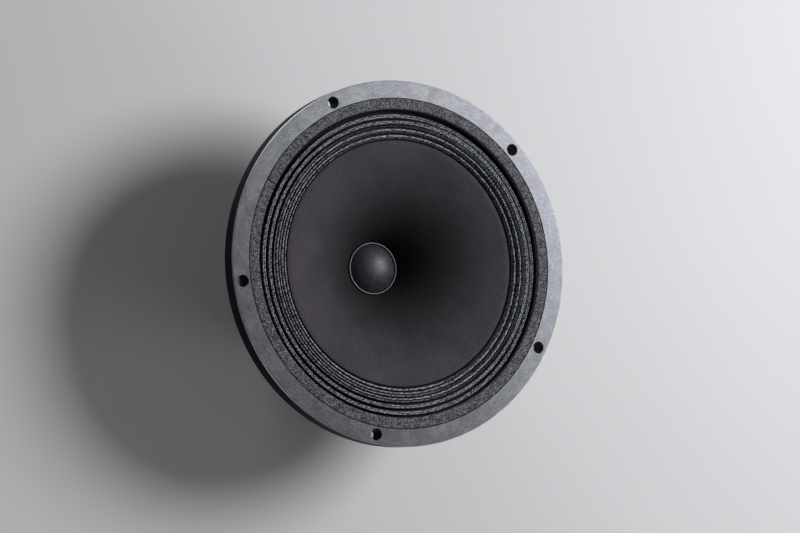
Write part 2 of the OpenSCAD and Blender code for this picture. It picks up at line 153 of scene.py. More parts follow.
def newMaterial(name, color, roughness, metallic=0.0, **sockets):
    material = bpy.data.materials.new(name)
    material.use_nodes = True
    material.diffuse_color = (*color, 1)
    toShader(material, Base_Color=color, Roughness=roughness, Metallic=metallic, **sockets)
    return material


def objectPoint(material, scale=(1, 1, 1), turn=0.0):
    # the point on the piece, scaled and turned round the axis by degrees
    point = addNode(material, "ShaderNodeTexCoord", "Object")
    if scale == (1, 1, 1) and not turn:
        return point
    return addNode(material, "ShaderNodeMapping", "Vector",
                   {"Vector": point, "Scale": scale, "Rotation": (0, 0, radians(turn))})


def noiseOf(point, size, detail=3.0, rough=0.55):
    # size is the width of a grain in millimetres
    return addNode(point.owner, "ShaderNodeTexNoise", "Fac",
                   {"Vector": point, "Scale": 1 / (size * mm), "Detail": detail, "Roughness": rough})


def blendColors(fac, dark, light):
    # mixes colors or signals of color, at the mix node's own sockets for color
    return addNode(fac.owner, "ShaderNodeMix", 2, {0: fac, 6: dark, 7: light}, data_type="RGBA")


def ramp(fac, stops):
    color = addNode(fac.owner, "ShaderNodeValToRGB", "Color", {"Fac": fac})
    elements = color.socket.node.color_ramp.elements
    while len(elements) < len(stops):
        elements.new(0.5)
    for element, (place, stop) in zip(elements, stops):
        element.position = place
        element.color = (*stop, 1)
    return color


def stretched(fac, low=0.0, high=1.0, fromLow=0.3, fromHigh=0.7, **settings):
    return addNode(fac.owner, "ShaderNodeMapRange", "Result",
                   {"Value": fac, "From Min": fromLow, "From Max": fromHigh, "To Min": low, "To Max": high},
                   **settings)


def addBump(height, depth, strength=1.0):
    # depth is the full height of the relief in millimetres
    return addNode(height.owner, "ShaderNodeBump", "Normal",
                   {"Height": height, "Distance": depth * mm, "Strength": strength})


def split(vector):
    node = addNode(vector.owner, "ShaderNodeSeparateXYZ", "X", {"Vector": vector}).socket.node
    return [Signal(vector.owner, socket) for socket in node.outputs]


def combined(x, y=0.0, z=0.0):
    return addNode(x.owner, "ShaderNodeCombineXYZ", "Vector", {"X": x, "Y": y, "Z": z})


def sineOf(value, period):
    # sine between 0 and 1 over a length, with its period in millimetres
    return (value * (tau / (period * mm))).math("SINE").math("MULTIPLY_ADD", 0.5, 0.5)


def fromAxis(point):
    x, y = split(point)[:2]
    return (x * x + y * y).math("POWER", 0.5)


def polarPoint(point, shrink):
    # radius and turn, for marks drawn out round the axis; sine and cosine close the turn
    x, y = split(point)[:2]
    return combined(fromAxis(point), y * shrink, x * shrink)


def toned(tone, low, high):
    return blendColors(stretched(tone), low, high)


def dress(material, color, roughFrom, rough, height, relief, strength=1.0):
    # color, a range of roughness that follows a pattern, and a relief
    toShader(material, Base_Color=color, Roughness=stretched(roughFrom, *rough),
             Normal=addBump(height, relief, strength))
    return material


# Mesh helpers

def up(depth):
    # height of a point this many millimetres behind the flange's front face
    return frontZ - depth * mm


def spot(radius, turn, depth):
    return Vector((radius * mm * cos(turn), radius * mm * sin(turn), up(depth)))


def around(count, first):
    return [radians(first + 360 * k / count) for k in range(count)]


def band(inner, outer, top, bottom):
    return [(inner, top), (outer, top), (outer, bottom), (inner, bottom)]


def rounded(points, radius, steps=3, guard=0.0, closed=True):
    # each corner of an outline becomes a short curve; guards beside it keep long straight sides flat
    outline = []
    last = len(points) - 1
    for i, corner in enumerate(points):
        here = Vector(corner[:2])
        size = corner[2] if len(corner) > 2 else radius
        if size <= 0 or (not closed and i in (0, last)):
            outline.append(here)
            continue
        before = Vector(points[i - 1][:2]) - here
        after = Vector(points[(i + 1) % len(points)][:2]) - here
        cutOff = min(size, before.length * 0.45, after.length * 0.45)
        start = here + before.normalized() * cutOff
        end = here + after.normalized() * cutOff
        if guard and before.length > 2 * (cutOff + guard):
            outline.append(here + before.normalized() * (cutOff + guard))
        for step in range(steps + 1):
            t = step / steps
            outline.append(start * (1 - t) ** 2 + here * 2 * t * (1 - t) + end * t * t)
        if guard and after.length > 2 * (cutOff + guard):
            outline.append(here + after.normalized() * (cutOff + guard))
    return outline


def strip(line, thickness):
    # closed outline of a strip round a mid-line of radius and depth
    outer, inner = [], []
    for i, point in enumerate(line):
        way = line[min(i + 1, len(line) - 1)] - line[max(i - 1, 0)]
        side = Vector((-way.y, way.x)).normalized() * thickness / 2
        outer.append(point + side)
        inner.append(point - side)
    return outer + inner[::-1]


def clamped(t):
    return min(max(t, 0), 1)


def eased(t):
    t = clamped(t)
    return t * t * (3 - 2 * t)


def vertsOf(made):
    return [one for one in made if isinstance(one, bmesh.types.BMVert)]


def spun(outline, steps, mesh=None, turn=tau, start=0.0, carried=None, closed=True):
    # solid of revolution of an outline of radius and depth in millimetres
    # an open one starts and ends on the axis; a carried value for each of its points goes round with it
    mesh = mesh or bmesh.new()
    layer = mesh.verts.layers.float.new("crest") if carried else None
    rim = [mesh.verts.new(spot(radius, start, depth)) for radius, depth in outline]
    for vert, value in zip(rim, carried or []):
        vert[layer] = value
    edges = [mesh.edges.new((rim[i - 1], rim[i])) for i in range(0 if closed else 1, len(rim))]
    whole = abs(turn - tau) < 1e-6
    made = bmesh.ops.spin(mesh, geom=rim + edges, cent=(0, 0, 0), axis=(0, 0, 1), dvec=(0, 0, 0),
                          angle=turn, steps=steps, use_merge=whole, use_duplicate=False)
    if not whole:
        mesh.faces.new(rim)
        mesh.faces.new(vertsOf(made["geom_last"]))
    if not closed:
        bmesh.ops.remove_doubles(mesh, verts=mesh.verts, dist=1e-7)
    return mesh


def slitRing(outline, steps, slit, radius, turn):
    # solid of revolution with a slit through it, as wide as given at a radius
    gap = slit / radius
    return spun(outline, steps, turn=tau - gap, start=radians(turn) + gap / 2)


def rod(mesh, start, end, radius, segments, radiusEnd=None):
    # cylinder or cone between two points, with its radii in millimetres
    way = end - start
    bmesh.ops.create_cone(mesh, cap_ends=True, segments=segments, radius1=radius * mm,
                          radius2=(radius if radiusEnd is None else radiusEnd) * mm,
                          depth=way.length, matrix=facing((start + end) / 2, way, "Z"))


def block(mesh, xs, ys, depths):
    # box between two places along X and Y and two depths, the upper one first
    low = Vector((xs[0] * mm, ys[0] * mm, up(depths[1])))
    high = Vector((xs[1] * mm, ys[1] * mm, up(depths[0])))
    size = Matrix.Diagonal((*(high - low), 1))
    bmesh.ops.create_cube(mesh, size=1, matrix=Matrix.Translation((low + high) / 2) @ size)


def bevel(mesh, edges, width, segments):
    bmesh.ops.bevel(mesh, geom=edges, offset=width * mm, offset_type="OFFSET", segments=segments,
                    profile=0.5, affect="EDGES", material=-1, clamp_overlap=True)


def bevelSharp(mesh, width, angle):
    # rounds every edge that is sharper than the angle
    sharp = [e for e in mesh.edges if len(e.link_faces) == 2 and e.calc_face_angle(0) > radians(angle)]
    bevel(mesh, sharp, width, 2)


def extruded(mesh, face):
    # extrudes a face in place, and returns its new corners and the new face
    made = bmesh.ops.extrude_face_region(mesh, geom=[face])["geom"]
    new = vertsOf(made)
    faces = [one for one in made if isinstance(one, bmesh.types.BMFace)]
    return new, next(one for one in faces if set(one.verts) <= set(new))


def wireAlong(mesh, points, radius, sides):
    # closed tube along points, by extruding its first ring from point to point
    old = points[1] - points[0]
    ring = bmesh.ops.create_circle(mesh, cap_ends=True, segments=sides, radius=radius * mm,
                                   matrix=facing(points[0], old, "Z"))["verts"]
    face = next(f for f in ring[0].link_faces if set(f.verts) == set(ring))
    old = old.normalized()
    for i in range(1, len(points)):
        way = (points[min(i + 1, len(points) - 1)] - points[i - 1]).normalized()
        verts, face = extruded(mesh, face)
        bmesh.ops.translate(mesh, vec=points[i] - points[i - 1], verts=verts)
        bmesh.ops.rotate(mesh, cent=points[i], matrix=old.rotation_difference(way).to_matrix(), verts=verts)
        old = way


def meshData(name, mesh, crisp=181):
    # finished data: normals outwards, smooth, with the edges past an angle kept crisp; the mesh is freed
    bmesh.ops.recalc_face_normals(mesh, faces=mesh.faces)
    mesh.normal_update()
    for edge in mesh.edges:
        edge.smooth = len(edge.link_faces) < 2 or edge.calc_face_angle(0) < radians(crisp)
    for face in mesh.faces:
        face.smooth = True
    data = bpy.data.meshes.new(name)
    mesh.to_mesh(data)
    mesh.free()
    return data


def modified(mesh, *steps):
    # the mesh after modifiers, each given as its kind and its settings
    thing = linked("work", meshData("work", mesh))
    for kind, settings in steps:
        modifier = thing.modifiers.new(kind, kind)
        for setting, value in settings.items():
            setattr(modifier, setting, value)
    bpy.context.view_layer.update()
    data = bpy.data.meshes.new_from_object(thing.evaluated_get(bpy.context.evaluated_depsgraph_get()))
    done = bmesh.new()
    done.from_mesh(data)
    bpy.data.meshes.remove(data)
    bpy.data.meshes.remove(thing.data)
    return done


def boolean(mesh, operation, other, **settings):
    # one exact boolean with another mesh, which is used up
    tool = linked("tool", meshData("tool", other))
    settings.update(operation=operation, solver="EXACT", object=tool)
    done = modified(mesh, ("BOOLEAN", settings))
    bpy.data.meshes.remove(tool.data)
    return done


def joinTo(mesh, part, place):
    # adds a part, moved by a matrix, to a mesh
    bmesh.ops.transform(part, matrix=place, verts=part.verts)
    data = meshData("part", part)
    mesh.from_mesh(data)
    bpy.data.meshes.remove(data)


def bodyFrom(name, mesh, looks, node, body="chassis", crisp=181):
    # one piece with its finishes, in its node's place and on its body, unless it bends between two
    piece = linked(name, meshData(name, mesh, crisp))
    for look in looks.split():
        piece.data.materials.append(finish[look])
    if body:
        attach(piece, body)
    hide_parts(node)
    return piece


# Lights, world, floor

studio = {
    "floorSize": 3.0, "floorColors": ((0.86, 0.86, 0.87), (0.91, 0.91, 0.92)),
    "worldColor": (0.94, 0.96, 1.0), "worldLight": 0.055, "backdrop": 0.75,
    "lamps": {
        # place, target, size, watts, color
        "key": ((0.84, -0.05, 0.92), (0.0, 0.0, 0.0), 0.56, 11.2, (0.98, 0.985, 1.0)),
        "rightSide": ((1.1, -1.4, 0.62), (0.0, 0.0, -0.03), 0.7, 4.6, (0.97, 0.98, 1.0)),
        "leftSide": ((-1.45, -0.7, 0.5), (0.0, 0.0, 0.0), 0.5, 0.65, (0.97, 0.98, 1.0)),
        "farSide": ((0.15, 1.75, 0.5), (0.0, 0.0, -0.03), 0.7, 4.2, (0.97, 0.98, 1.0)),
    },
}


def makeFloor():
    material = newMaterial("pale_floor", studio["floorColors"][1], 0.7)
    toShader(material, Base_Color=blendColors(noiseOf(objectPoint(material), 220, 2), *studio["floorColors"]))
    mesh = bmesh.new()
    bmesh.ops.create_grid(mesh, x_segments=2, y_segments=2, size=studio["floorSize"],
                          matrix=Matrix.Translation((0, 0, floorZ)))
    data = bpy.data.meshes.new("floor")
    mesh.to_mesh(data)
    mesh.free()
    data.materials.append(material)
    linked("floor", data)


def makeWorld():
    # the camera sees a bright backdrop, and the object a dim one
    world = bpy.data.worlds.new("studio")
    world.use_nodes = True
    scene.world = world
    seen = addNode(world, "ShaderNodeLightPath", "Is Camera Ray")
    through = Signal(world, seen.socket.node.outputs["Is Transmission Ray"])
    background = world.node_tree.nodes["Background"]
    plug(world, background.inputs["Color"], studio["worldColor"])
    plug(world, background.inputs["Strength"], seen.math("MAXIMUM", through).math(
        "MULTIPLY_ADD", studio["backdrop"] - studio["worldLight"], studio["worldLight"]))


def makeLamps():
    for name, (place, target, size, watts, color) in studio["lamps"].items():
        data = bpy.data.lights.new(name, "AREA")
        data.shape = "DISK"
        data.size = size
        data.energy = watts
        data.color = color
        lamp = linked(name, data)
        lamp.visible_camera = False
        lamp.matrix_world = facing(place, Vector(target) - Vector(place), "-Z")


makeFloor()
makeWorld()
makeLamps()
print("studio ready")


# Finishes

turnedLook = {"dark": (0.066, 0.07, 0.08), "light": (0.188, 0.194, 0.213), "stain": (0.113, 0.106, 0.117),
              "roughness": (0.31, 0.43), "relief": 0.02}


def turnedMetal():
    # bare face with fine turning marks that run round the axis, speckled and a little stained
    look = turnedLook
    material = newMaterial("turned_aluminium", look["light"], 0.4, 0.6, Anisotropic=0.3)
    point = objectPoint(material)
    marks = noiseOf(combined(fromAxis(point)), 0.16, 2)
    grain = noiseOf(point, 0.8, 2, 0.7)
    streak = noiseOf(polarPoint(point, 0.25), 0.9, 3)
    cloud = noiseOf(point, 11, 4, 0.6)
    tone = grain * 0.5 + streak * 0.22 + cloud * 0.28
    metal = blendColors(stretched(tone, 0, 1, 0.4, 0.6), look["dark"], look["light"])
    stain = stretched(noiseOf(point, 7, 3, 0.6), 0, 1, 0.5, 0.68)
    tangent = addNode(material, "ShaderNodeTangent", "Tangent", direction_type="RADIAL", axis="Z")
    toShader(material, Tangent=tangent)
    return dress(material, blendColors(stain, metal, look["stain"]), cloud * 0.5 + grain * 0.5,
                 look["roughness"], marks * 0.4 + grain * 0.6, look["relief"])


def castPaint(name, shine, dark=(0.009, 0.009, 0.011), light=(0.016, 0.016, 0.018)):
    # black paint over a fine cast grain
    material = newMaterial(name, light, 0.5, Specular_IOR_Level=shine)
    point = objectPoint(material)
    grain = noiseOf(point, 0.45, 4)
    color = blendColors(noiseOf(point, 12, 3), dark, light)
    return dress(material, color, grain, (0.42, 0.6), grain, 0.05, 0.6)


feltLook = {"dark": (0.006, 0.006, 0.008), "middle": (0.085, 0.087, 0.093), "light": (0.34, 0.345, 0.36),
            "fibre": 0.68, "tuft": 2.6, "relief": 0.4}


def feltFinish():
    # matted fibres in several greys, pressed flat
    look = feltLook
    material = newMaterial("grey_felt", look["middle"], 0.95, Sheen_Weight=0.15, Sheen_Roughness=0.5,
                           Specular_IOR_Level=0.1)
    point = objectPoint(material)
    fibre = noiseOf(point, look["fibre"], 2, 0.75)
    speck = noiseOf(point, look["fibre"] * 0.55, 1, 0.5)
    tone = fibre * 0.55 + speck * 0.35 + noiseOf(point, look["tuft"], 3) * 0.1
    toShader(material,
             Base_Color=ramp(tone, [(0.42, look["dark"]), (0.5, look["middle"]), (0.58, look["light"])]),
             Normal=addBump(tone, look["relief"], 0.8))
    return material


# painted light: the valley colour is painted shade, and the thread colour on the crests carries a painted
# highlight
surroundLook = {"valleyShade": (0.0025, 0.0025, 0.0035), "gap": (0.012, 0.013, 0.016), "thread": (0.56, 0.59, 0.66),
                "roughness": 0.38, "dull": 0.5, "shine": 0.3, "coat": 0.05, "turn": 33, "pitch": 1.5,
                "relief": 0.3, "patchy": 0.06, "paintedLight": ((0.0, 0.0), (0.4, 0.03), (0.7, 0.25), (0.95, 1.0))}
spiderLook = {"valleyShade": (0.3, 0.18, 0.05), "gap": (0.27, 0.16, 0.045), "thread": (0.6, 0.42, 0.17),
              "roughness": 0.5, "dull": 0.0, "shine": 0.5, "coat": 0.15, "turn": 12, "pitch": 0.9,
              "relief": 0.16, "patchy": 0.2, "paintedLight": ((0.0, 0.0), (0.35, 0.0), (1.0, 0.9))}


def weave(point, pitch):
    # plain weave of straight threads: over and under by turns, as a height between 0 and 1
    x, y = split(point)[:2]
    checker = ((sineOf(x, pitch * 2) - 0.5) * (sineOf(y, pitch * 2) - 0.5)).math("GREATER_THAN", 0.0)
    return addNode(point.owner, "ShaderNodeMix", "Result",
                   {"Factor": checker, "A": sineOf(x, pitch), "B": sineOf(y, pitch)})


def clothFinish(name, look):
    # woven and dipped cloth: threads show on the folds' crests under a painted highlight, and painted shade
    # darkens the dull valleys between them
    rough = look["roughness"]
    material = newMaterial(name, look["thread"], rough, Coat_Weight=look["coat"], Coat_Roughness=0.3,
                           Sheen_Weight=0.05, Sheen_Roughness=0.4, Specular_IOR_Level=look["shine"])
    point = objectPoint(material, turn=look["turn"])
    threads = weave(point, look["pitch"])
    spots = noiseOf(point, look["pitch"] * 0.9, 3, 0.7)
    dashes = noiseOf(polarPoint(point, 0.45), 0.9, 2, 0.6)
    cloud = noiseOf(point, 6, 3)
    crest = addNode(material, "ShaderNodeAttribute", "Fac", attribute_name="crest")
    tone = stretched(threads * 0.12 + dashes * 0.5 + spots * 0.38, 0, 1, 0.4, 0.62)
    # painted light: the crest value paints the ridges pale as a painted highlight and the valleys dark as
    # painted shade
    paintedLight = ramp(crest + spots * look["patchy"], [(place, (bright,) * 3) for place, bright in look["paintedLight"]])
    toShader(material,
             Base_Color=blendColors(paintedLight, look["valleyShade"], blendColors(tone, look["gap"], look["thread"])),
             Roughness=stretched(paintedLight, look["dull"], 0)
             + stretched(cloud * 0.5 + spots * 0.5, rough - 0.08, rough + 0.12),
             Normal=addBump(threads * 0.65 + spots * 0.45, look["relief"]))
    return material


coneLook = {"turn": 40, "period": 1.15, "wander": 0.8, "relief": 0.18,
            # painted shade: the paper darkens between these radii towards the neck, as the throat's shade
            "throatShadeFrom": 14, "throatShadeTo": 66, "throatShade": 0.22,
            "dark": (0.037, 0.032, 0.039), "light": (0.1, 0.088, 0.103)}


def conePaper():
    # charcoal paper pressed with a fine canvas, darkened towards the neck by painted shade in the throat
    look = coneLook
    material = newMaterial("cone_paper", look["light"], 0.8, Specular_IOR_Level=0.25)
    plain = objectPoint(material)
    point = objectPoint(material, turn=look["turn"])
    x, y = split(point)[:2]
    warp = noiseOf(point, 6, 2) * (look["wander"] * mm)
    canvas = sineOf(x + warp, look["period"]) * 0.5 + sineOf(y + warp, look["period"]) * 0.5
    fibre = noiseOf(plain, 0.7, 3, 0.7)
    tone = noiseOf(plain, 18, 4, 0.6) * 0.3 + fibre * 0.4 + canvas * 0.3
    # painted shade: the colour darkens towards the neck, where the throat lies in shade
    throatShade = stretched(fromAxis(plain), look["throatShade"], 1.0, look["throatShadeFrom"] * mm, look["throatShadeTo"] * mm,
                     interpolation_type="SMOOTHSTEP")
    paper = blendColors(stretched(tone, 0, 1, 0.36, 0.64), look["dark"], look["light"])
    return dress(material, blendColors(throatShade, (0, 0, 0), paper), fibre, (0.7, 0.88),
                 canvas * 0.65 + fibre * 0.45, look["relief"])


def satinMetal(name, low, high, rough, grainSize=0.4, metallic=1.0, relief=0.01):
    material = newMaterial(name, high, rough, metallic)
    point = objectPoint(material)
    grain = noiseOf(point, grainSize, 3)
    tone = noiseOf(point, grainSize * 12, 4, 0.6) * 0.7 + grain * 0.3
    return dress(material, toned(tone, low, high), tone, (rough - 0.07, rough + 0.1), grain, relief)


def turnedSteel(name, low, high, rough):
    # lathe-turned rings round the axis under a thin plating
    material = newMaterial(name, high, rough, 1.0)
    point = objectPoint(material)
    marks = noiseOf(combined(fromAxis(point), split(point)[2]), 0.3, 3)
    tone = noiseOf(point, 8, 4, 0.6) * 0.6 + marks * 0.4
    return dress(material, toned(tone, low, high), tone, (rough - 0.06, rough + 0.12), marks, 0.015)


def ferriteFinish():
    # ground ceramic with fine scratches
    material = newMaterial("ferrite", (0.035, 0.034, 0.036), 0.55, Specular_IOR_Level=0.55)
    point = objectPoint(material)
    grain = noiseOf(point, 0.35, 4, 0.7)
    scratch = noiseOf(objectPoint(material, scale=(1, 0.04, 1)), 0.5, 3)
    tone = noiseOf(point, 14, 3) * 0.5 + (grain * 0.3 + scratch * 0.2)
    return dress(material, toned(tone, (0.022, 0.022, 0.024), (0.055, 0.054, 0.057)), tone,
                 (0.45, 0.68), grain + scratch * 0.5, 0.03)


def fibrous(material, fibre, cloudSize, low, high, rough, relief):
    # fine fibres in soft clouds
    tone = fibre * 0.5 + noiseOf(objectPoint(material), cloudSize, 3) * 0.5
    return dress(material, toned(tone, low, high), fibre, rough, fibre, relief)


def laminateFinish():
    material = newMaterial("board_laminate", (0.19, 0.085, 0.035), 0.4, Coat_Weight=0.2, Coat_Roughness=0.25)
    fibre = noiseOf(objectPoint(material, scale=(1, 1, 0.35)), 0.5, 4)
    return fibrous(material, fibre, 5, (0.12, 0.05, 0.02), (0.25, 0.12, 0.05), (0.32, 0.5), 0.01)


def paperFinish(name, low, high):
    material = newMaterial(name, high, 0.8)
    return fibrous(material, noiseOf(objectPoint(material), 0.5, 4, 0.65), 4, low, high, (0.7, 0.9), 0.03)


def filmFinish():
    # brown film of the coil's tube
    material = newMaterial("tube_film", (0.05, 0.024, 0.01), 0.25, Coat_Weight=0.3, Coat_Roughness=0.1)
    cloud = noiseOf(objectPoint(material), 4, 3)
    toShader(material, Base_Color=blendColors(cloud, (0.035, 0.016, 0.006), (0.07, 0.034, 0.014)),
             Roughness=stretched(cloud, 0.2, 0.32))
    return material


def windingFinish():
    # enamelled wire, wound round the axis, with painted shade in the grooves between its turns
    material = newMaterial("copper_winding", (0.6, 0.27, 0.12), 0.3, 1.0,
                           Coat_Weight=0.4, Coat_Roughness=0.15)
    point = objectPoint(material)
    turns = sineOf(split(point)[2], 0.28)
    # painted shade: the colour darkens where the relief sinks between turns
    return dress(material, blendColors(turns, (0.32, 0.12, 0.05), (0.72, 0.34, 0.16)), noiseOf(point, 3, 3),
                 (0.25, 0.4), turns, 0.12)


def braidFinish():
    # plaited copper tinsel; its layer holds the length round the lead and the length along it
    material = newMaterial("copper_braid", (0.6, 0.33, 0.18), 0.38, 1.0)
    u, v = split(addNode(material, "ShaderNodeUVMap", "UV", uv_map="braid"))[:2]
    height = sineOf(u + v, 0.8).math("MAXIMUM", sineOf(u - v, 0.8))
    # painted shade: the copper darkens where the strands sink between their crossings
    return dress(material, blendColors(height, (0.18, 0.08, 0.04), (0.72, 0.42, 0.25)),
                 noiseOf(objectPoint(material), 2.5, 3), (0.3, 0.48), height, 0.15)


def domeFinish():
    # dark satin coat with a faint grain
    material = newMaterial("dome_finish", (0.035, 0.039, 0.046), 0.58, Specular_IOR_Level=1.0)
    point = objectPoint(material)
    tone = noiseOf(point, 4, 4, 0.6) * 0.4 + noiseOf(point, 1.2, 3, 0.75) * 0.6
    return dress(material, toned(tone, (0.002, 0.003, 0.006), (0.045, 0.053, 0.068)), tone,
                 (0.44, 0.64), tone, 0.2, 0.9)


finish = {
    "turned": turnedMetal(),
    "paint": castPaint("cast_paint", 0.35),
    # painted shade: a darker, duller copy of the black paint for the flange's side and back, which lie in
    # shade
    "side": castPaint("shaded_side_paint", 0.05, (0.004, 0.004, 0.006), (0.008, 0.008, 0.011)),
    # painted highlight: the bare chamfer gets a far brighter copy of the turned metal
    "edge": satinMetal("edge_highlight", (0.7, 0.7, 0.72), (0.92, 0.92, 0.94), 0.45),
    "felt": feltFinish(),
    "surround": clothFinish("treated_cloth", surroundLook),
    "cone": conePaper(),
    "ring": satinMetal("ring_metal", (0.07, 0.07, 0.073), (0.13, 0.13, 0.135), 0.42),
    "dome": domeFinish(),
    "film": filmFinish(),
    "collar": paperFinish("collar_paper", (0.30, 0.20, 0.11), (0.46, 0.33, 0.2)),
    "winding": windingFinish(),
    "spider": clothFinish("spider_cloth", spiderLook),
    "fibre": paperFinish("fibre_ring", (0.035, 0.03, 0.027), (0.085, 0.075, 0.065)),
    "plated": turnedSteel("zinc_plate", (0.34, 0.35, 0.37), (0.56, 0.57, 0.58), 0.36),
    "pole": turnedSteel("turned_steel", (0.27, 0.27, 0.28), (0.48, 0.48, 0.49), 0.3),
    "ferrite": ferriteFinish(),
    "copper": satinMetal("bare_copper", (0.5, 0.21, 0.1), (0.78, 0.4, 0.24), 0.3),
    "screen": satinMetal("screen_wire", (0.16, 0.16, 0.165), (0.3, 0.3, 0.31), 0.4, 0.2),
    "screws": satinMetal("black_oxide", (0.018, 0.018, 0.02), (0.05, 0.05, 0.054), 0.36, 0.3, 0.9),
    "laminate": laminateFinish(),
    "brass": satinMetal("tag_brass", (0.55, 0.37, 0.13), (0.8, 0.6, 0.28), 0.28, 0.4),
    "tin": satinMetal("tag_tin", (0.45, 0.45, 0.46), (0.68, 0.68, 0.67), 0.3, 0.4),
    "braid": braidFinish(),
    "solder": satinMetal("solder", (0.42, 0.42, 0.43), (0.7, 0.7, 0.7), 0.25, 0.6, 1.0, 0.03),
}
print("finishes made")


# Frame: a turned flange and a cast basket behind it

flange = {
    "radius": 104.0, "thickness": 11.2, "chamfer": 0.48,
    "feltRadius": 94.05, "recess": 3.7, "throat": 87.2,
    "spigotRadius": 91.5, "spigotDepth": 20.0, "rearStep": 1.5,
    "boltCircle": 98.5, "boltRadius": 3.2, "boltChamfer": 0.3, "boltCount": 5, "boltTurn": 90,
}
basket = {
    "legWidth": 20.0, "legWall": 4.5, "ribWidth": 5.0, "ribHeight": 7.0,
    "floorDepth": 56.2, "floorThickness": 5.0, "floorHole": 28.0, "floorRadius": 60.5,
    "landingDepth": 52.5, "landingRadius": 47.5, "spiderSpace": 56.4,
    "bracketWidth": 40.0, "bracketInner": 83.5, "bracketOuter": 86.5, "bracketFoot": 44.0,
    "windowWidth": 24.0, "windowEdge": 3.5, "boardTop": 22.0,
    "screwCircle": 41.0, "screwPocket": 4.72, "voxel": 0.95, "smoothing": 7,
}


def legTurns():
    return around(flange["boltCount"], flange["boltTurn"])


def screwTurns():
    # the motor's screws stand between the legs
    return around(flange["boltCount"], flange["boltTurn"] + 180 / flange["boltCount"])


def makeFlange():
    f = flange
    rear, step = f["thickness"] + f["rearStep"], f["spigotRadius"] - 0.4
    mesh = spun(rounded([
        (f["radius"], f["thickness"], 0.5), (f["radius"], f["chamfer"], 0.05),
        (f["radius"] - f["chamfer"], 0, 0.05), (f["feltRadius"], 0, 0),
        (f["feltRadius"], f["recess"], 0.2), (f["throat"], f["recess"], 0.3),
        (f["throat"], rear, 0.5), (step, rear, 0), (step, f["thickness"], 0),
    ], 0.2, guard=0.25), 300)
    # straight holes, and chamfers whose cones run on half a millimetre past the face
    holes = bmesh.new()
    cone, past = f["boltChamfer"], 0.5
    for turn in legTurns():
        for low, high, wider in ((f["thickness"] + 2, -1, 0), (cone, -past, cone + past)):
            rod(holes, spot(f["boltCircle"], turn, low), spot(f["boltCircle"], turn, high),
                f["boltRadius"], 48, f["boltRadius"] + wider)
    mesh = boolean(mesh, "DIFFERENCE", boolean(holes, "UNION", bmesh.new(), use_self=True))
    paintFaces(mesh)
    bodyFrom("frame_flange", mesh, "side turned edge", "frame", crisp=28)


def paintFaces(mesh):
    # the front face and its edges are bare metal, the outer edge brightest by a painted highlight; the rest
    # has the darker paint, a painted shade
    f = flange
    for face in mesh.faces:
        x, y, z = face.calc_center_median()
        depth = (frontZ - z) / mm
        outside = hypot(x, y) > (f["radius"] - f["chamfer"] - 0.05) * mm
        face.material_index = 0 if depth > f["chamfer"] + 0.03 else 2 if outside and depth > 0.04 else 1


def legSection():
    b, top = basket, flange["spigotDepth"]
    wall, foot = flange["spigotRadius"] - 0.6, b["floorRadius"] - 1
    wallIn, footIn = wall - b["legWall"], foot - b["legWall"]
    return [(wall, top - 4), (wall, top - 1), (foot + 1.2, b["landingDepth"] - 2),
            (foot, b["floorDepth"] + 3), (footIn, b["floorDepth"] + 3),
            (footIn + 0.5, b["landingDepth"] + 1), (wallIn, top - 3), (wallIn, top - 4)]


def ribSection():
    b, top = basket, flange["spigotDepth"]
    wall, foot = flange["spigotRadius"] - 1.6, b["floorRadius"] - 1
    rib, rear = b["floorRadius"] + b["ribHeight"], b["floorDepth"] + b["floorThickness"] - 1.2
    return [(wall - 1.9, top - 2), (wall, top - 2), (wall, top + b["ribHeight"]), (rib, rear - 2),
            (rib - 0.6, rear), (foot - 2, rear), (foot - 1, b["landingDepth"] + 3)]


def prism(mesh, section, width, turn, slices, bow):
    # plate along X from a section of radius and depth, bowed round the axis or flat, then turned
    verts = [mesh.verts.new((radius * mm, -width * mm / 2, up(depth))) for radius, depth in section]
    face = mesh.faces.new(verts)
    for step in range(slices):
        new, face = extruded(mesh, face)
        bmesh.ops.translate(mesh, vec=(0, width * mm / slices, 0), verts=new)
        verts += new
    if bow:
        for vert in verts:
            vert.co.x = sqrt(max(vert.co.x ** 2 - vert.co.y ** 2, 0))
    bmesh.ops.rotate(mesh, cent=(0, 0, 0), matrix=Matrix.Rotation(turn, 3, "Z"), verts=verts)


def makeBasket():
    b, f = basket, flange
    rear = b["floorDepth"] + b["floorThickness"]
    mesh = spun(band(f["throat"], f["spigotRadius"], f["recess"] + 3, f["spigotDepth"]), 200)
    spun([(b["floorHole"], rear), (b["floorHole"], b["floorDepth"]), (b["landingRadius"], b["floorDepth"]),
          (b["landingRadius"], b["landingDepth"]), (b["floorRadius"], b["landingDepth"]),
          (b["floorRadius"], rear)], 160, mesh)
    for turn in legTurns():
        prism(mesh, legSection(), b["legWidth"], turn, 8, bow=True)
        prism(mesh, ribSection(), b["ribWidth"], turn, 2, bow=False)
    # the bracket for the terminal board, with a window through it
    half, window = b["bracketWidth"] / 2, b["windowWidth"] / 2
    top, foot = f["spigotDepth"] - 3, b["bracketFoot"]
    for left, right, high, low in ((-half, -window, top, foot), (window, half, top, foot),
                                   (-half, half, foot - b["windowEdge"], foot),
                                   (-half, half, top, b["boardTop"] + b["windowEdge"])):
        block(mesh, (left, right), (-b["bracketOuter"], -b["bracketInner"]), (high, low))
    mesh = modified(mesh, ("REMESH", {"mode": "VOXEL", "voxel_size": b["voxel"] * mm}),
                    ("SMOOTH", {"factor": 0.5, "iterations": b["smoothing"]}))
    mesh = boolean(mesh, "DIFFERENCE", basketSeats())
    bodyFrom("frame_basket", mesh, "paint", "frame", crisp=40)


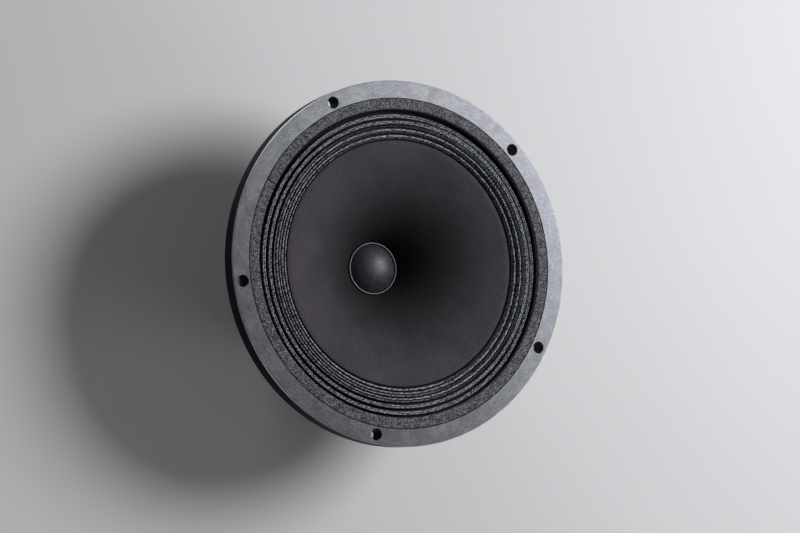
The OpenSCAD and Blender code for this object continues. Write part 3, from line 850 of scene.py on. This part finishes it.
def basketSeats():
    # cut after the casting: room for the spider down to its landing, and the screws' pockets
    b, floor = basket, basket["floorDepth"]
    seats = spun(band(0.01, b["spiderSpace"], b["landingDepth"] + 0.02, flange["spigotDepth"] + 6), 128)
    for turn in screwTurns():
        rod(seats, spot(b["screwCircle"], turn, floor + 2.2), spot(b["screwCircle"], turn, floor - 2),
            b["screwPocket"], 40)
    return seats


makeFlange()
makeBasket()
print("frame made")


# Felt ring

felt = {"outer": 93.7, "inner": 87.75, "thickness": 3.25, "top": 0.06, "slit": 0.5, "slitTurn": 126.6,
        "steps": 720, "grid": 0.8, "fuzz": 0.16, "faceDepth": 0.6, "sideShare": 0.3, "waver": 0.05}


def makeFelt():
    g = felt
    corner = rounded([(g["outer"], g["thickness"], 0.1), (g["outer"], g["top"], 0.55),
                      (g["inner"], g["top"], 0.5), (g["inner"], g["thickness"], 0.15)], 0.2)
    outline = []
    for a, b in zip(corner, corner[1:] + corner[:1]):
        pieces = max(1, round((b - a).length / g["grid"]))
        outline += [a + (b - a) * k / pieces for k in range(pieces)]
    mesh = slitRing(outline, g["steps"], g["slit"], g["inner"], g["slitTurn"])
    for vert in mesh.verts:
        at = vert.co / mm
        shift = noise.noise(at * 1.1) * 0.5 + noise.noise(at * 2.6) * 0.5
        depth = (frontZ - vert.co.z) / mm
        vert.co.z += shift * g["fuzz"] * mm * (1.0 if depth < g["faceDepth"] else g["sideShare"])
        flat = Vector((vert.co.x, vert.co.y, 0)).normalized()
        vert.co += flat * noise.noise(at * 1.7 + Vector((5, 5, 5))) * g["waver"] * mm
    bodyFrom("felt_ring", mesh, "felt", "gasket")


makeFelt()
print("felt ring made")


# Pleated surround

pleats = {
    "thickness": 0.4, "coneRadius": 70.0, "lipInner": 68.5, "lipDepth": 4.1,
    # valleys and ridges by turns: radius, depth, half width and how pale the cloth is painted there, as
    # painted highlight on ridges and painted shade in valleys, then radius, depth and paleness on the side
    # where the folds lean the other way, where the painted light differs
    "folds": [(70.8, 4.3, 0.12, 0.0, 70.85, 4.3, 0.0), (71.4, 2.6, 0.12, 1.0, 71.5, 3.3, 0.45),
              (72.3, 4.3, 0.25, 0.0, 72.15, 2.8, 0.65), (73.3, 1.9, 0.15, 1.0, 73.0, 1.9, 1.0),
              (74.05, 3.5, 0.12, 0.35, 74.3, 4.3, 0.0), (74.8, 2.6, 0.12, 0.85, 75.1, 3.5, 0.4),
              (75.6, 4.3, 0.22, 0.0, 75.75, 2.8, 0.65), (76.6, 1.8, 0.15, 1.0, 76.6, 1.8, 1.0),
              (77.3, 3.4, 0.12, 0.35, 77.95, 4.4, 0.0), (77.95, 2.6, 0.12, 0.8, 78.6, 3.4, 0.5),
              (79.1, 4.6, 0.5, 0.0, 79.6, 2.8, 0.7), (80.85, 1.7, 0.5, 1.0, 81.1, 1.7, 1.0),
              (82.6, 4.8, 0.65, 0.0, 82.5, 2.8, 0.75), (84.45, 1.45, 0.58, 1.0, 84.2, 1.7, 0.85),
              (86.2, 4.5, 0.4, 0.0, 86.1, 4.5, 0.0)],
    "leanTurn": 0.0, "innerLean": (-0.4, 0.35), "outerLean": (0.15, 0.8), "outerFrom": 78.4,
    # ridges of more than this half width have a groove along them, painted less pale by these on either side
    # as painted shade
    "broad": 0.3, "groove": 0.7, "grooveTone": 0.25, "grooveLeanTone": 0.15,
    "corner": 0.2, "ledgeRadius": 87.0, "ledgeDepth": 3.5, "outer": 93.8,
    # the folds' set is off the centre and wanders a little; both fade out towards the glued edges
    "offCentre": 0.6, "offTurn": 246.0, "offFrom": 70.5, "offFade": 1.1, "offTo": 86.9,
    "wander": 0.09, "wanderFrom": 71.0, "wanderTo": 86.5, "steps": 288,
}


def grooved(i, half):
    return i % 2 and half > pleats["broad"]


def pleatLine():
    p = pleats
    corners = [(p["lipInner"], p["lipDepth"]), (p["coneRadius"] + 0.4, p["lipDepth"])]
    for i, fold in enumerate(p["folds"]):
        at, depth, half = fold[:3]
        groove = [(at, depth + p["groove"])] if grooved(i, half) else []
        corners += [(at - half, depth)] + groove + [(at + half, depth)]
    corners += [(p["ledgeRadius"], p["ledgeDepth"]), (p["outer"], p["ledgeDepth"])]
    return rounded(corners, p["corner"], 2, guard=0.3, closed=False)


def bendWeights(piece, innerRadius, outerRadius):
    # the inner edge follows the cone and the outer edge stays on the frame
    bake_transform(piece, "chassis", "moving_cone", (outerRadius * mm, 0, 0), (innerRadius * mm, 0, 0))
    weights = [eased((outerRadius * mm - hypot(vert.co.x, vert.co.y)) / ((outerRadius - innerRadius) * mm))
               for vert in piece.data.vertices]
    piece.data.attributes["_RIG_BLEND"].data.foreach_set("value", weights)


def foldAt(radius):
    # at a place on the cloth: painted paleness (painted highlight and painted shade) on either side, and the
    # shift in radius and depth between the sides
    p = pleats
    stops = [(p["coneRadius"], 0, 0, 0, 0)]
    for i, (at, depth, half, pale, leanAt, leanDepth, leanPale) in enumerate(p["folds"]):
        shift = (leanAt - at, leanDepth - depth)
        stops.append((at - half, pale, leanPale, *shift))
        if grooved(i, half):
            stops.append((at, pale - p["grooveTone"], leanPale - p["grooveLeanTone"], *shift))
        stops.append((at + half, pale, leanPale, *shift))
    stops.append((p["ledgeRadius"], 0, 0, 0, 0))
    if not stops[0][0] < radius < stops[-1][0]:
        return (0, 0, 0, 0)
    for before, after in zip(stops, stops[1:]):
        if radius <= after[0]:
            part = (radius - before[0]) / max(after[0] - before[0], 1e-6)
            return tuple(a + (b - a) * part for a, b in zip(before[1:], after[1:]))


def makeSurround():
    p = pleats
    line = pleatLine()
    places = [point.x for point in line]
    mesh = spun(strip(line, p["thickness"]), p["steps"], carried=places + places[::-1])
    crest = mesh.verts.layers.float["crest"]
    offCentre = Vector((cos(radians(p["offTurn"])), sin(radians(p["offTurn"])), 0)) * p["offCentre"] * mm
    folds = {}
    for vert in mesh.verts:
        at = vert.co / mm
        radius = hypot(at.x, at.y)
        place = vert[crest]
        if place not in folds:
            folds[place] = foldAt(place)
        pale, leanPale, outward, deeper = folds[place]
        low, high = p["outerLean"] if place > p["outerFrom"] else p["innerLean"]
        lean = eased((cos(atan2(at.y, at.x) - radians(p["leanTurn"])) - low) / (high - low))
        # painted light: the point's paleness, painted highlight on ridges and painted shade in valleys,
        # blends between the two sides' values
        vert[crest] = pale + (leanPale - pale) * lean
        vert.co += Vector((at.x / radius * outward, at.y / radius * outward, -deeper)) * lean * mm
        vert.co += offCentre * clamped(min((radius - p["offFrom"]) / p["offFade"], p["offTo"] - radius))
        flat = Vector((at.x, at.y, 0)) / radius
        shift = flat * noise.noise(at * 0.35) + Vector((0, 0, noise.noise(at * 0.3 + Vector((9, 2, 4)))))
        vert.co += shift * p["wander"] * mm * clamped(min(radius - p["wanderFrom"], p["wanderTo"] - radius))
    piece = bodyFrom("pleated_surround", mesh, "surround", "surround", None)
    bendWeights(piece, p["coneRadius"], p["ledgeRadius"])


makeSurround()
print("surround made")


# Cone

coneShape = {"edge": 70.0, "edgeDepth": 3.1, "rim": 2.0, "thickness": 0.8,
             "neckRadius": 15.1, "neckDepth": 41.4, "neckLength": 3.0,
             "flareAngle": 20.0, "arcSteps": 56, "steps": 256}


def flareArc(thickness):
    # circular arc from the neck to the rim, moved in by the paper's thickness
    c = coneShape
    start, end = Vector((c["neckRadius"], c["neckDepth"])), Vector((c["edge"] - c["rim"], c["edgeDepth"]))
    chord = end - start
    half = radians(c["flareAngle"])
    radius = chord.length / 2 / sin(half)
    along = chord.normalized()
    normal = Vector((-along.y, along.x))
    centre = (start + end) / 2 + normal * radius * cos(half)
    arc = []
    for i in range(c["arcSteps"] + 1):
        a = half * (2 * i / c["arcSteps"] - 1)
        arc.append(centre + (along * sin(a) - normal * cos(a)) * (radius - thickness))
    return arc


def makeCone():
    c = coneShape
    neck, neckEnd = c["neckRadius"] + c["thickness"], c["neckDepth"] + c["neckLength"]
    under = c["edgeDepth"] + c["thickness"]
    back = [p for p in flareArc(c["thickness"]) if p.x > neck + 0.2]
    rimEnd = rounded([(c["edge"] - 1, c["edgeDepth"], 0), (c["edge"], c["edgeDepth"], 0.25),
                      (c["edge"], under, 0.2), (c["edge"] - 1.4, under, 0)], 0.2)
    neckEnds = rounded([(neck, c["neckDepth"] + c["thickness"], 0.3), (neck, neckEnd, 0.15),
                        (c["neckRadius"], neckEnd, 0.15)], 0.2)
    mesh = spun(flareArc(0) + rimEnd + back[::-1] + neckEnds, c["steps"])
    bodyFrom("paper_cone", mesh, "cone", "cone", "moving_cone")


makeCone()
print("cone made")


# Ring and domed cap at the cone's throat

cap = {"ringOut": 15.25, "ringIn": 14.3, "tubeOut": 14.6, "ringDepth": 39.7, "ringLength": 1.4, "lip": 1.0,
       "slit": 0.9, "slitTurn": 169.0, "domeRadius": 14.15, "domeHeight": 6.6, "domeThickness": 0.5,
       "domeSteps": 40, "skirt": 1.6, "steps": 160}


def makeCapRing():
    c = cap
    seat, end = c["ringDepth"] + c["lip"], c["ringDepth"] + c["ringLength"]
    outline = rounded([(c["ringIn"], seat, 0.1), (c["ringIn"], c["ringDepth"], 0.35),
                       (c["ringOut"], c["ringDepth"], 0.35), (c["ringOut"], end, 0.1),
                       (c["tubeOut"], end, 0.05), (c["tubeOut"], seat, 0.05)], 0.1)
    mesh = slitRing(outline, c["steps"], c["slit"], c["ringOut"], c["slitTurn"])
    bodyFrom("cap_ring_metal", mesh, "ring", "cap_ring", "moving_cone", 40)


def makeDome():
    c = cap
    ball = (c["domeRadius"] ** 2 + c["domeHeight"] ** 2) / 2 / c["domeHeight"]
    seat = c["ringDepth"] + c["lip"]
    half = asin(c["domeRadius"] / ball)
    turns = [half * i / c["domeSteps"] for i in range(c["domeSteps"] + 1)]
    outer = [Vector((ball * sin(turn), seat - c["domeHeight"] + ball - ball * cos(turn))) for turn in turns]
    inner = [Vector((p.x * (1 - c["domeThickness"] / ball), p.y + c["domeThickness"])) for p in outer]
    skirt = [Vector((c["domeRadius"] - inset, seat + c["skirt"])) for inset in (0, c["domeThickness"])]
    mesh = spun(outer + skirt + inner[::-1], c["steps"], closed=False)
    bodyFrom("domed_cap", mesh, "dome", "dust_cap", "moving_cone")


makeCapRing()
makeDome()
print("cap made")


# Voice coil, behind the cone

coilParts = {"tube": (14.3, 14.55), "collar": (14.6, 15.0), "wire": (14.6, 15.3), "wirePitch": 0.28,
             "wireRelief": 0.07, "tubeDepths": (40.7, 71.2), "collarDepths": (41.1, 57.8),
             "wireDepths": (58.2, 70.2), "steps": 128}


def ringPiece(name, corners, look, node, radius=0.15, steps=192, crisp=32, arc=3, guard=0.4,
              body="chassis"):
    mesh = spun(rounded(corners, radius, arc, guard), steps)
    bodyFrom(name, mesh, look, node, body, crisp)


def makeTubePieces():
    p = coilParts
    for name, part, look, slot, node in (
        ("coil_former", "tube", "film", "tube_film", "coil_tube"),
        ("paper_collar", "collar", "collar", "collar_paper", "coil_collar"),
    ):
        ringPiece(name, band(*p[part], *p[part + "Depths"]), look, node, 0.05, p["steps"], 40, 2, 0.0,
                  "moving_cone")


def makeWinding():
    # the wire's turns as a scalloped outline round the tube, four steps to a turn
    p = coilParts
    inner, outer = p["wire"]
    top, bottom = p["wireDepths"]
    steps = 4 * round((bottom - top) / p["wirePitch"])
    wire = [(outer - p["wireRelief"] * (1 - abs(sin(pi * i / 4))), top + (bottom - top) * i / steps)
            for i in range(steps + 1)]
    mesh = spun([(inner, top)] + wire + [(inner, bottom)], p["steps"])
    bodyFrom("wire_winding", mesh, "winding", "voice_coil", "moving_cone")


makeTubePieces()
makeWinding()
print("voice coil made")


# Spider and its ring

spiderShape = {"thickness": 0.4, "depth": 50.7, "neckRadius": 15.25, "neckEnd": 53.7, "rollStart": 18.05,
               "rollEnd": 47.5, "rolls": 5, "rollHeight": 1.2, "ringInner": 48.0, "outer": 55.5,
               "stepsPerRoll": 16, "steps": 224, "ringOuter": 56.0, "ringDepths": (50.92, 52.48)}


def spiderLine():
    s = spiderShape
    line = [(s["neckRadius"], s["neckEnd"]), (s["neckRadius"] + 0.01, s["depth"] + 1.4),
            (s["neckRadius"] + 0.25, s["depth"] + 0.5), (s["neckRadius"] + 0.9, s["depth"])]
    for i in range(s["stepsPerRoll"] * s["rolls"] + 1):
        t = i / s["stepsPerRoll"]
        line.append((s["rollStart"] + (s["rollEnd"] - s["rollStart"]) * t / s["rolls"],
                     s["depth"] - s["rollHeight"] * sin(tau * t)))
    line += [(s["ringInner"] + 0.6, s["depth"]), (s["outer"], s["depth"])]
    return [Vector(point) for point in line]


def makeSpider():
    # the cloth is painted pale at the rolls' crests as a painted highlight and dark at their deepest as
    # painted shade
    s = spiderShape
    line = spiderLine()
    crests = [clamped((s["depth"] + s["rollHeight"] - point.y) / (2 * s["rollHeight"])) for point in line]
    mesh = spun(strip(line, s["thickness"]), s["steps"], carried=crests + crests[::-1])
    piece = bodyFrom("corrugated_spider", mesh, "spider", "spider", None)
    bendWeights(piece, s["rollStart"] - 1, s["rollEnd"])
    ringPiece("fibre_spider_ring", band(s["ringInner"], s["ringOuter"], *s["ringDepths"]), "fibre",
              "spider_ring", 0.25, 160, 40, guard=0.0)


makeSpider()
print("spider made")


# Motor

motor = {"topRadius": 55.0, "topDepth": 61.2, "topThickness": 6.0, "topChamfer": 0.8, "gapRadius": 15.75,
         "magnetRadius": 60.0, "magnetHole": 28.5, "magnetThickness": 20.0, "magnetChamfer": 1.0,
         "backRadius": 56.0, "backThickness": 8.0, "poleRadius": 13.3, "poleDepth": 59.7,
         "poleSpigot": 10.5, "vent": 6.0, "screenSeat": 8.05, "seatDepth": 1.2,
         "copperRadius": 13.35, "copperWall": 0.5, "copperLength": 10.0, "chamfer": 1.2,
         "play": 0.02, "press": 0.05}


def makeMotor():
    m = motor
    top = m["topDepth"]
    magnetTop = top + m["topThickness"]
    backTop = magnetTop + m["magnetThickness"]
    rear = backTop + m["backThickness"]
    edge, chamfer = m["topRadius"], m["topChamfer"]
    ringPiece("plated_top_plate", [
        (m["gapRadius"], top, 0.2), (edge - chamfer, top, 0.2), (edge, top + chamfer, 0.2),
        (edge, magnetTop, 0.15), (m["gapRadius"], magnetTop, 0.15),
    ], "plated", "top_plate")
    front, back = magnetTop + m["play"], backTop - m["play"]
    edge, chamfer = m["magnetRadius"], m["magnetChamfer"]
    ringPiece("ferrite_ring", [
        (m["magnetHole"], front, 0.5), (edge - chamfer, front, 0.3), (edge, magnetTop + chamfer, 0.4),
        (edge, backTop - chamfer, 0.4), (edge - chamfer, back, 0.3), (m["magnetHole"], back, 0.5),
    ], "ferrite", "magnet")
    hole, edge = m["poleSpigot"] + m["press"], m["backRadius"]
    ringPiece("plated_back_plate", [
        (hole, rear, 0.1), (hole, backTop, 0.1), (edge, backTop, 0.3),
        (edge, rear - m["chamfer"], 0.4), (edge - m["chamfer"], rear, 0.4),
    ], "plated", "back_plate")
    front, seat = m["poleDepth"] + m["press"], rear - m["seatDepth"]
    ringPiece("vented_pole", [
        (m["vent"], front, 0.2), (m["poleRadius"], front, 0.2), (m["poleRadius"], backTop, 0.1),
        (m["poleSpigot"], backTop, 0.1), (m["poleSpigot"], rear, 0.2), (m["screenSeat"], rear, 0.3),
        (m["screenSeat"], seat, 0.1), (m["vent"], seat, 0.2),
    ], "pole", "pole_piece")
    front, end = m["poleDepth"] - m["copperWall"], m["poleDepth"] - m["copperWall"] + m["copperLength"]
    outside = m["copperRadius"] + m["copperWall"]
    ringPiece("copper_pole_cap", [
        (m["vent"], front, 0.1), (outside, front, 0.35), (outside, end, 0.05), (m["copperRadius"], end, 0.05),
        (m["copperRadius"], m["poleDepth"], 0.05), (m["vent"], m["poleDepth"], 0.05),
    ], "copper", "copper_cap", 0.1)


screen = {"radius": 7.95, "depth": 94.4, "wire": 0.16, "pitch": 0.85, "rim": 0.5, "rimDepths": (94.1, 94.75)}


def makeScreen():
    # woven wires inside a thin rim, in the vent's rear end
    s = screen
    mesh = spun(rounded(band(s["radius"] - s["rim"], s["radius"], *s["rimDepths"]), 0.1, 2), 96)
    reach = s["radius"] - s["rim"] / 2
    count = int(reach / s["pitch"])
    for axis in (0, 1):
        for k in range(-count, count + 1):
            offset = k * s["pitch"]
            half = sqrt(reach ** 2 - offset ** 2)
            parts = max(2, 2 * ceil(half / s["pitch"]))
            points = []
            for i in range(parts + 1):
                along = -half + 2 * half * i / parts
                wave = sin(pi * (along / s["pitch"] + k + axis)) * s["wire"] / 2
                x, y = (along, offset) if axis == 0 else (offset, along)
                points.append(Vector((x * mm, y * mm, up(s["depth"] + wave))))
            wireAlong(mesh, points, s["wire"], 5)
    bodyFrom("vent_mesh", mesh, "screen", "vent_screen")


makeMotor()
makeScreen()
print("motor made")


# Screws, terminals and leads

screws = {"head": 4.6, "edge": 0.12, "play": 0.02, "cone": 2.1, "shank": 2.5, "socket": (1.73, 1.85),
          "socketDepth": 2.0, "pitch": 0.8, "root": 0.25, "threadEnd": 9.4, "tip": 0.4, "length": 9.95,
          "steps": 36}
terminals = {"boardY": 86.5, "boardThickness": 1.6, "boardWidth": 38.0, "boardTop": 22.0, "boardFoot": 44.0,
             "boardCorner": 1.5, "edge": 0.12, "tagGap": 16.0, "tagTop": 27.0, "tagLength": 27.0,
             "tagThickness": 0.8, "tagCorner": 1.0, "wireHole": 0.8, "wireHoleUp": 4.0, "rivetDepth": 31.0,
             "tagRivet": 1.2, "tagRivetHole": 0.6, "boardRivet": 1.5, "boardRivetX": 16.0,
             "leadHoleDepth": 37.0, "leadHole": 1.6, "leadRadius": 0.8}


def makeScrews():
    # countersunk heads with a round socket and a threaded end
    s, seat = screws, basket["floorDepth"]
    face, socket, end = seat + s["play"], seat + s["socketDepth"], seat + s["length"]
    depth, shank, pitch = seat + s["cone"], s["shank"], s["pitch"]
    outline = [(0, socket), (s["socket"][0], socket), (s["socket"][1], face),
               (s["head"] - s["edge"], face), (s["head"], face + s["edge"]), (shank, depth)]
    while depth < seat + s["threadEnd"]:
        outline += [(shank, depth + pitch / 4), (shank - s["root"], depth + pitch * 3 / 4),
                    (shank, depth + pitch)]
        depth += pitch
    outline += [(shank - s["tip"], end), (0, end)]
    mesh = bmesh.new()
    for turn in screwTurns():
        joinTo(mesh, spun(outline, s["steps"], closed=False),
               Matrix.Rotation(turn, 4, "Z") @ Matrix.Translation((basket["screwCircle"] * mm, 0, 0)))
    bodyFrom("floor_screws", mesh, "screws", "motor_screws", crisp=35)


def acrossEdges(mesh):
    # the edges of a plate that run through its thickness
    return [e for e in mesh.edges if abs(e.verts[0].co.y - e.verts[1].co.y) > 1e-4]


def drilled(mesh, xs, ys, depth, radius, segments):
    # round holes through a plate, side by side at one depth
    holes = bmesh.new()
    for x in xs:
        start, end = [Vector((x * mm, y * mm, up(depth))) for y in ys]
        rod(holes, start, end, radius, segments)
    return boolean(mesh, "DIFFERENCE", holes)


def makeBoard():
    t = terminals
    half, hole = t["boardWidth"] / 2, t["tagGap"] / 2
    mesh = bmesh.new()
    block(mesh, (-half, half), (-t["boardY"] - t["boardThickness"], -t["boardY"] - 0.02),
          (t["boardTop"], t["boardFoot"]))
    bevel(mesh, acrossEdges(mesh), t["boardCorner"], 5)
    bevelSharp(mesh, t["edge"], 50)
    mesh = drilled(mesh, (-hole, hole), (-95, -80), t["leadHoleDepth"], t["leadHole"], 28)
    bodyFrom("terminal_plate", mesh, "laminate", "terminal_board", crisp=40)


def makeTag(name, side, width, look, node):
    # blade with a bevelled end and a small hole for a wire
    t = terminals
    x, back = side * t["tagGap"] / 2, -t["boardY"] - t["boardThickness"] - 0.01
    end = t["tagTop"] + t["tagLength"]
    mesh = bmesh.new()
    block(mesh, (x - width / 2, x + width / 2), (back - t["tagThickness"], back), (t["tagTop"], end))
    bevel(mesh, [e for e in acrossEdges(mesh) if e.verts[0].co.z < up(end) + 1e-5], t["tagCorner"], 1)
    bevelSharp(mesh, t["edge"], 40)
    mesh = drilled(mesh, [x], (-95, -85), end - t["wireHoleUp"], t["wireHole"], 24)
    bodyFrom(name, mesh, look, node, crisp=35)


# the head's radius as a share of the shank's, then points by their share of the head's radius and their rise
rivetHead = {"radius": 1.55, "behind": [(0, 0.75), (0.55, 0.68), (0.9, 0.4), (1, 0.02)],
             "front": [(1, 0.02), (0.92, 0.45), (0.62, 0.7)], "crown": 0.78, "rolled": 0.55, "hole": 0.6,
             "steps": 28}


def addRivet(mesh, x, radius, back, front, hollow):
    # shank along -Y with a domed head behind, and a rolled one in front if it is hollow, or else a domed one
    r, head = rivetHead, radius * rivetHead["radius"]
    outline = [(head * share, back - rise) for share, rise in r["behind"]] + [(radius, back), (radius, front)]
    outline += [(head * share, front + rise) for share, rise in r["front"]]
    outline += [(hollow, front + r["rolled"]), (hollow, front - r["hole"]),
                (0, front - r["hole"])] if hollow else [(0, front + r["crown"])]
    place = Matrix.Translation((x * mm, -frontZ, up(terminals["rivetDepth"])))
    joinTo(mesh, spun(outline, r["steps"], closed=False), place @ Matrix.Rotation(-pi / 2, 4, "X"))


def makeRivets():
    t = terminals
    eyelets, rivets = bmesh.new(), bmesh.new()
    front = t["boardY"] + t["boardThickness"]
    for side in (-1, 1):
        addRivet(eyelets, side * t["tagGap"] / 2, t["tagRivet"], t["boardY"], front + t["tagThickness"],
                 t["tagRivetHole"])
        addRivet(rivets, side * t["boardRivetX"], t["boardRivet"], basket["bracketInner"] - 0.1, front, 0)
    bodyFrom("tag_eyelets", eyelets, "brass", "tag_rivets")
    bodyFrom("plate_rivets", rivets, "tin", "board_rivets")


leadRoute = {"padTurn": 25.0, "padRadius": 16.25, "padDepth": 46.7, "sag": 2.0, "steps": 9, "reach": 6.0,
             "sides": 16, "perStep": 16, "strands": 4, "lay": 3.6, "strandRelief": 0.1,
             "padSeat": 15.75, "padSize": (1.5, 0.68, 1.2)}


def leadPoints(side):
    # the same points as the part's own leads: out of the board, in a slack curve to the collar
    t, r = terminals, leadRoute
    turn = radians(r["padTurn"])
    way = Vector((sin(turn), -cos(turn)))
    x = t["tagGap"] / 2
    points = [(x, -(t["boardY"] + t["boardThickness"]), t["leadHoleDepth"]),
              (x, 0.5 - basket["bracketInner"], t["leadHoleDepth"])]
    start = Vector((x, 3 - basket["bracketInner"], t["leadHoleDepth"] + 0.3))
    far = way * (r["padRadius"] + r["reach"])
    end = Vector((far.x, far.y, r["padDepth"] - 0.6))
    for i in range(r["steps"] + 1):
        k = i / r["steps"]
        points.append(start + (end - start) * k + Vector((0, 0, r["sag"] * sin(pi * k))))
    for reach in (r["reach"] / 2, 0):
        place = way * (r["padRadius"] + reach)
        points.append((place.x, place.y, r["padDepth"]))
    return [Vector((side * p[0] * mm, p[1] * mm, up(p[2]))) for p in points]


def smoothPath(points, perStep):
    # smooth curve through the points
    path = []
    for i in range(len(points) - 1):
        a, b = points[max(i - 1, 0)], points[i]
        c, d = points[i + 1], points[min(i + 2, len(points) - 1)]
        for k in range(perStep):
            t = k / perStep
            path.append(b + (c - a) * 0.5 * t + (a * 2 - b * 5 + c * 4 - d) * 0.5 * t * t
                        + (b * 3 - a - c * 3 + d) * 0.5 * t ** 3)
    path.append(points[-1])
    return path


def makeLead(name, side, node):
    # braided tube whose strands cross on its surface
    t, r = terminals, leadRoute
    path = smoothPath(leadPoints(side), r["perStep"])
    mesh = bmesh.new()
    layer = mesh.loops.layers.uv.new("braid")
    wireAlong(mesh, path, t["leadRadius"], r["sides"])
    bmesh.ops.remove_doubles(mesh, verts=mesh.verts, dist=1e-8)
    lengths = [0.0]
    for a, b in zip(path, path[1:]):
        lengths.append(lengths[-1] + (b - a).length)
    spots = {}
    for index, vert in enumerate(mesh.verts):
        ring, spoke = divmod(index, r["sides"])
        turn, along = tau * spoke / r["sides"], lengths[ring]
        spots[vert] = (turn, along)
        strand = max(sin(r["strands"] * turn + way * along / mm * r["lay"]) for way in (1, -1))
        vert.co = path[ring] + (vert.co - path[ring]) * (1 - r["strandRelief"] * (1 - strand))
    for face in mesh.faces:
        turns = [spots[loop.vert][0] for loop in face.loops]
        wraps = max(turns) - min(turns) > pi
        for loop in face.loops:
            turn, along = spots[loop.vert]
            if wraps and turn < pi:
                turn += tau
            loop[layer].uv = (turn * t["leadRadius"] * mm, along)
    piece = bodyFrom(name, mesh, "braid", node, None)
    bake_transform(piece, "chassis", "moving_cone", (0, (4 - basket["bracketInner"]) * mm, 0),
             (0, -(leadRoute["padRadius"] + 1) * mm, 0))


def makePads():
    # solder blobs where the leads meet the collar
    r = leadRoute
    mesh = bmesh.new()
    for side in (-1, 1):
        turn = side * radians(r["padTurn"])
        blob = bmesh.ops.create_uvsphere(mesh, u_segments=28, v_segments=18, radius=mm)["verts"]
        place = Matrix.Translation(spot(r["padSeat"], turn - pi / 2, r["padDepth"]))
        shape = place @ Matrix.Rotation(turn, 4, "Z") @ Matrix.Diagonal((*r["padSize"], 1))
        bmesh.ops.transform(mesh, matrix=shape, verts=blob)
    bodyFrom("solder_pads", mesh, "solder", "lead_pads", "moving_cone")


makeScrews()
makeBoard()
makeTag("brass_tag", 1, 6.3, "brass", "terminal_positive")
makeTag("tinned_tag", -1, 4.8, "tin", "terminal_negative")
makeRivets()
makeLead("braided_lead_positive", 1, "lead_positive")
makeLead("braided_lead_negative", -1, "lead_negative")
makePads()
print("terminals made")
